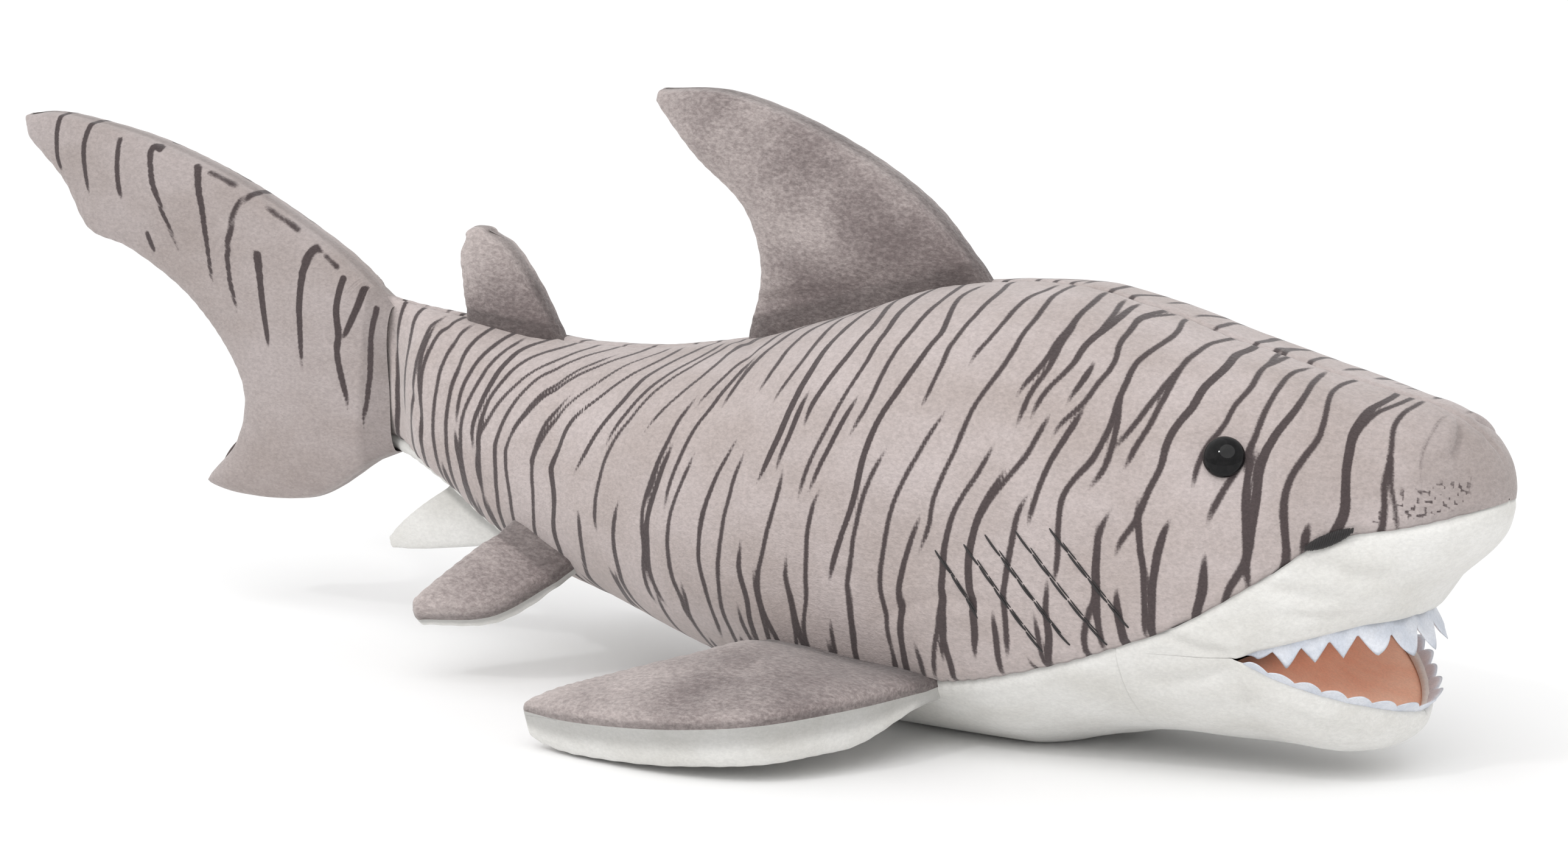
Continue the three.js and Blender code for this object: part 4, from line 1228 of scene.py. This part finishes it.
def fin_relief(spec, sign, flat, to_edge, run, u, v, seed):
    """Stuffing lumps, puckers beside the seam, and folds at the root."""
    place = flat + 40 * sign
    relief = 0.5 * smooth_noise(place, 19, seed) + 0.28 * smooth_noise(place, 8, seed + 1)
    relief = relief * np.clip(to_edge / 7, 0, 1)
    puckers = 0.22 * np.sin(2 * math.pi * (run / 5.4 + 0.7 * np.sin(run / 13.0)))
    relief = relief + puckers * np.exp(-to_edge / 3.6) * np.clip(to_edge / 1.2, 0, 1)
    for u0, v0, u1, v1, depth, size in spec.get("folds", []):
        span = math.hypot(u1 - u0, v1 - v0)
        du, dv = (u1 - u0) / span, (v1 - v0) / span
        t = ((u - u0) * du + (v - v0) * dv) / span
        off = (v - v0) * du - (u - u0) * dv
        fade = np.clip(np.minimum(t, 1 - t) * 5 + 0.3, 0, 1)
        relief = relief - fade * depth * np.exp(-((off / size) ** 2))
    return relief


def fin_surface(spec, sign, bulge, bluntness, size, seed):
    """One panel of a fin: its points, their distance from the seam, the middle sheet, and u and v."""
    lead, trail, flat, normal, u, v = fin_outline(spec, *size)
    lead_side, trail_side = fin_edges(lead, trail, flat)
    to_edge = np.minimum(lead_side, trail_side)
    centre = (lead + trail) / 2
    to_tip = length_along(centre[::-1])[::-1]
    run = to_tip[:, None] + 60 * (u > 0.5)
    rise = spec["root"] + (bulge - spec["root"]) * smoothstep(-0.04, 0.22, v)
    hollow = lead_side * trail_side / ((lead_side + spec["round"]) * (trail_side + spec["round"]))
    rounding = np.sqrt(np.clip(1 - (1 - np.clip(to_edge / 2.0, 0, 1)) ** 2, 0, 1))
    thickness = (rise * hollow**bluntness + FIN_SKIN) * rounding
    thickness = thickness + fin_relief(spec, sign, flat, to_edge, run, u, v, seed)
    nip = 0.75 * np.exp(-((to_edge / 0.9) ** 2))
    towards = unit(centre[:, None, :] - flat)
    points = flat + towards * nip[..., None] + sign * normal * thickness[..., None]
    return points, to_edge, flat, u, v


# Each stripe on the tail fin, in mm: x and z at its top, middle and bottom, and its boldness.
CAUDAL_STRIPES = [
    ((-384, 162), (-384, 150), (-383, 142), 0.1), ((-369, 161), (-372, 149), (-369, 134), 0.1),
    ((-357, 154), (-357, 144), (-355, 134), 0.1), ((-341, 152), (-343, 145), (-328, 113), 0.25),
    ((-325, 147), (-321, 132), (-317, 106), 0.35), ((-303, 140), (-310, 124), (-306, 98), 0.3),
    ((-298, 121), (-296, 107), (-293, 89), 0.6), ((-275, 124), (-280, 111), (-279, 81), 0.6),
    ((-264, 115), (-266, 96), (-262, 70), 0.4), ((-257, 112), (-260, 104), (-265, 95), 0.2),
    ((-345, 124), (-344, 121), (-343, 118), 0.1), ((-320, 145.5), (-314, 143.5), (-309, 141.5), -0.24),
    ((-296, 135.5), (-289, 132), (-282, 128.5), -0.24), ((-272, 122), (-269, 120), (-266, 118), -0.24),
    ((-252.5, 106), (-254, 90), (-257, 64), 0.3),
]


def caudal_ink(flat, seed):
    """Ink of the tail fin's stripes at each point, as thin bent strokes with tapered ends."""
    x = flat[..., 0] + 0.5 * smooth_noise(flat, 7, seed)
    z = flat[..., 2]
    t = np.linspace(0, 1, 40)
    taper = np.minimum(1, (1 - t) * 6) ** 0.5
    ink = np.zeros(x.shape)
    for top, middle, bottom, boldness in CAUDAL_STRIPES:
        top, middle, bottom = np.array(top), np.array(middle), np.array(bottom)
        bend = middle * 2 - (top + bottom) / 2
        path = [(1 - k) ** 2 * top + 2 * k * (1 - k) * bend + k**2 * bottom for k in t]
        power = (0.84 + boldness * np.sin(math.pi * np.linspace(0.25, 1, 40))) * taper
        for place, strong in zip(path, power):
            distance = (x - place[0]) ** 2 + (z - place[1]) ** 2
            ink = np.maximum(ink, strong * np.exp(-distance / 1.7))
    return ink


def blend_fin(obj):
    """Bakes the fin's transform into its mesh."""
    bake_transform(obj)


def mirrored_spec(spec):
    other = dict(spec)
    for key in ("leading", "trailing"):
        other[key] = [(x, -y, z) for x, y, z in spec[key]]
    x, y, z = spec["inward"]
    other["inward"] = (x, -y, z)
    return other


def facing(spec, sign):
    """The direction that one panel of a fin faces."""
    lead, trail = np.array(spec["leading"], float), np.array(spec["trailing"], float)
    return sign * unit(np.cross(trail[0] - lead[0], lead[-1] - lead[0]))


def fin_panel(name, nodes, spec, sign, slot, size, seed):
    """One panel of a fin as a piece, on the side of the fin that sign says."""
    out = facing(spec, sign)
    under = "under" in spec and out[2] < 0
    bulge, bluntness = (spec["under"], UNDER_BLUNTNESS) if under else (spec["over"], OVER_BLUNTNESS)
    points, to_edge, flat, u, v = fin_surface(spec, sign, bulge, bluntness, size, seed)
    # Painted shade at the fin's root, where it meets the body, and along its seams.
    painted_root_shade = 0.9 * np.exp(-((v / 0.035) ** 2))
    attributes = {"crease": np.maximum(painted_seam_shade(to_edge, 0.6), painted_root_shade)}
    if slot == "striped_plush":
        attributes["ink"] = caudal_ink(flat, seed)
        # A plain darkening over the whole tail fin.
        attributes["crease"] = np.maximum(attributes["crease"], 0.5)
    if slot == "grey_plush":
        # Painted shade of the fin's shape: darker at the root and leading edge, lighter towards the tip and
        # trailing edge; also lighter near the seams, with the nap's brushed patches.
        brushed = 0.2 * smooth_noise(points, 21, seed + 2) + 0.1 * smooth_noise(points, 9, seed + 3)
        attributes["painted_shade_and_nap_tone"] = 0.40 * v + 0.30 * u + 0.2 * np.exp(-to_edge / 3.5) + brushed
    points[..., 2] = np.maximum(points[..., 2], 2 * FLOOR_GAP)
    normal = grid_normals(points)[size[0] // 2, size[1] // 2]
    obj = grid_object(name, points, MATERIALS[slot], flip=np.dot(normal, out) >= 0, attributes=attributes)
    stand_for(nodes)
    blend_fin(obj)


def midline_fin(name, slot, size, seed):
    spec = FINS[name]
    for sign in (1, -1):
        side = "right" if facing(spec, sign)[1] < 0 else "left"
        nodes = [f"{name}_panel_{side}"]
        if side == "right":
            nodes.append(f"{name}_stuffing")
        fin_panel(f"{name}_skin_{side}", nodes, spec, sign, slot, size, seed)


def side_fin(name, size, seed):
    right = FINS[f"{name}_right"]
    for side, spec in (("right", right), ("left", mirrored_spec(right))):
        body = f"{name}_{side}"
        for sign in (1, -1):
            top = facing(spec, sign)[2] > 0
            face = "top" if top else "bottom"
            nodes = [f"{body}_{face}_panel"]
            if top:
                nodes.append(f"{body}_stuffing")
            slot = "grey_plush" if top else "white_plush"
            fin_panel(f"{body}_{face}_skin", nodes, spec, sign, slot, size, seed)


def fins():
    midline_fin("first_dorsal", "grey_plush", (90, 80), 400)
    midline_fin("second_dorsal", "grey_plush", (50, 50), 410)
    midline_fin("anal_fin", "white_plush", (50, 44), 420)
    midline_fin("caudal_fin", "striped_plush", (200, 110), 430)
    side_fin("pectoral", (110, 80), 440)
    side_fin("pelvic", (56, 50), 450)


# ---- studio, in metres ----


FLOOR_REACH = 9.0
PHOTO_LENS = 112.6
PHOTO_PLACE = (0.7045, -1.2389, 0.3405)
PHOTO_TARGET = (-0.1, 0, 0.08)


def studio():
    """A pale floor under even light from all round, with three soft lights over it."""
    mesh = bpy.data.meshes.new("studio_floor")
    corners = [(-1, -1), (1, -1), (1, 1), (-1, 1)]
    mesh.from_pydata([(FLOOR_REACH * x, FLOOR_REACH * y, 0) for x, y in corners], [], [(0, 1, 2, 3)])
    mesh.materials.append(floor_material())
    floor = link(bpy.data.objects.new("studio_floor", mesh))
    world = bpy.data.worlds.new("studio")
    world.use_nodes = True
    plug(world.node_tree, world.node_tree.nodes["Background"], {"Color": (1, 1, 1), "Strength": 0.84})
    bpy.context.scene.world = world
    add_soft_light("key", (0.5, -0.9, 1.4), 0.85, 50)
    add_soft_light("fill", (-0.9, -0.5, 1.2), 0.35, 80)
    add_soft_light("glint", (-0.25, -1.2, 1.3), 0.25, 4)


def add_soft_light(name, place, strength, spread):
    """A broad, even light from the direction of place; spread is in degrees."""
    data = bpy.data.lights.new(name, "SUN")
    data.energy = strength
    data.angle = math.radians(spread)
    light = link(bpy.data.objects.new(name, data))
    light.location = place
    light.rotation_euler = (-Vector(place)).to_track_quat("-Z", "Y").to_euler()


def camera():
    """The camera that took the photo, as fitted to the toy's outline."""
    data = bpy.data.cameras.new("photo_camera")
    data.lens = PHOTO_LENS
    data.sensor_width = 36
    data.clip_start = 0.05
    data.clip_end = 40
    view = link(bpy.data.objects.new("photo_camera", data))
    view.location = PHOTO_PLACE
    view.rotation_euler = (Vector(PHOTO_TARGET) - view.location).to_track_quat("-Z", "Y").to_euler()
    bpy.context.scene.camera = view
    bpy.context.scene.view_settings.view_transform = "Standard"


camera()
studio()
back_skin("right", 100)
back_skin("left", 200)
belly_skin()
muzzle_skin()
jaw_skin()
mouth_linings()
teeth()
gill_threads()
nostrils()
eyes()
fins()
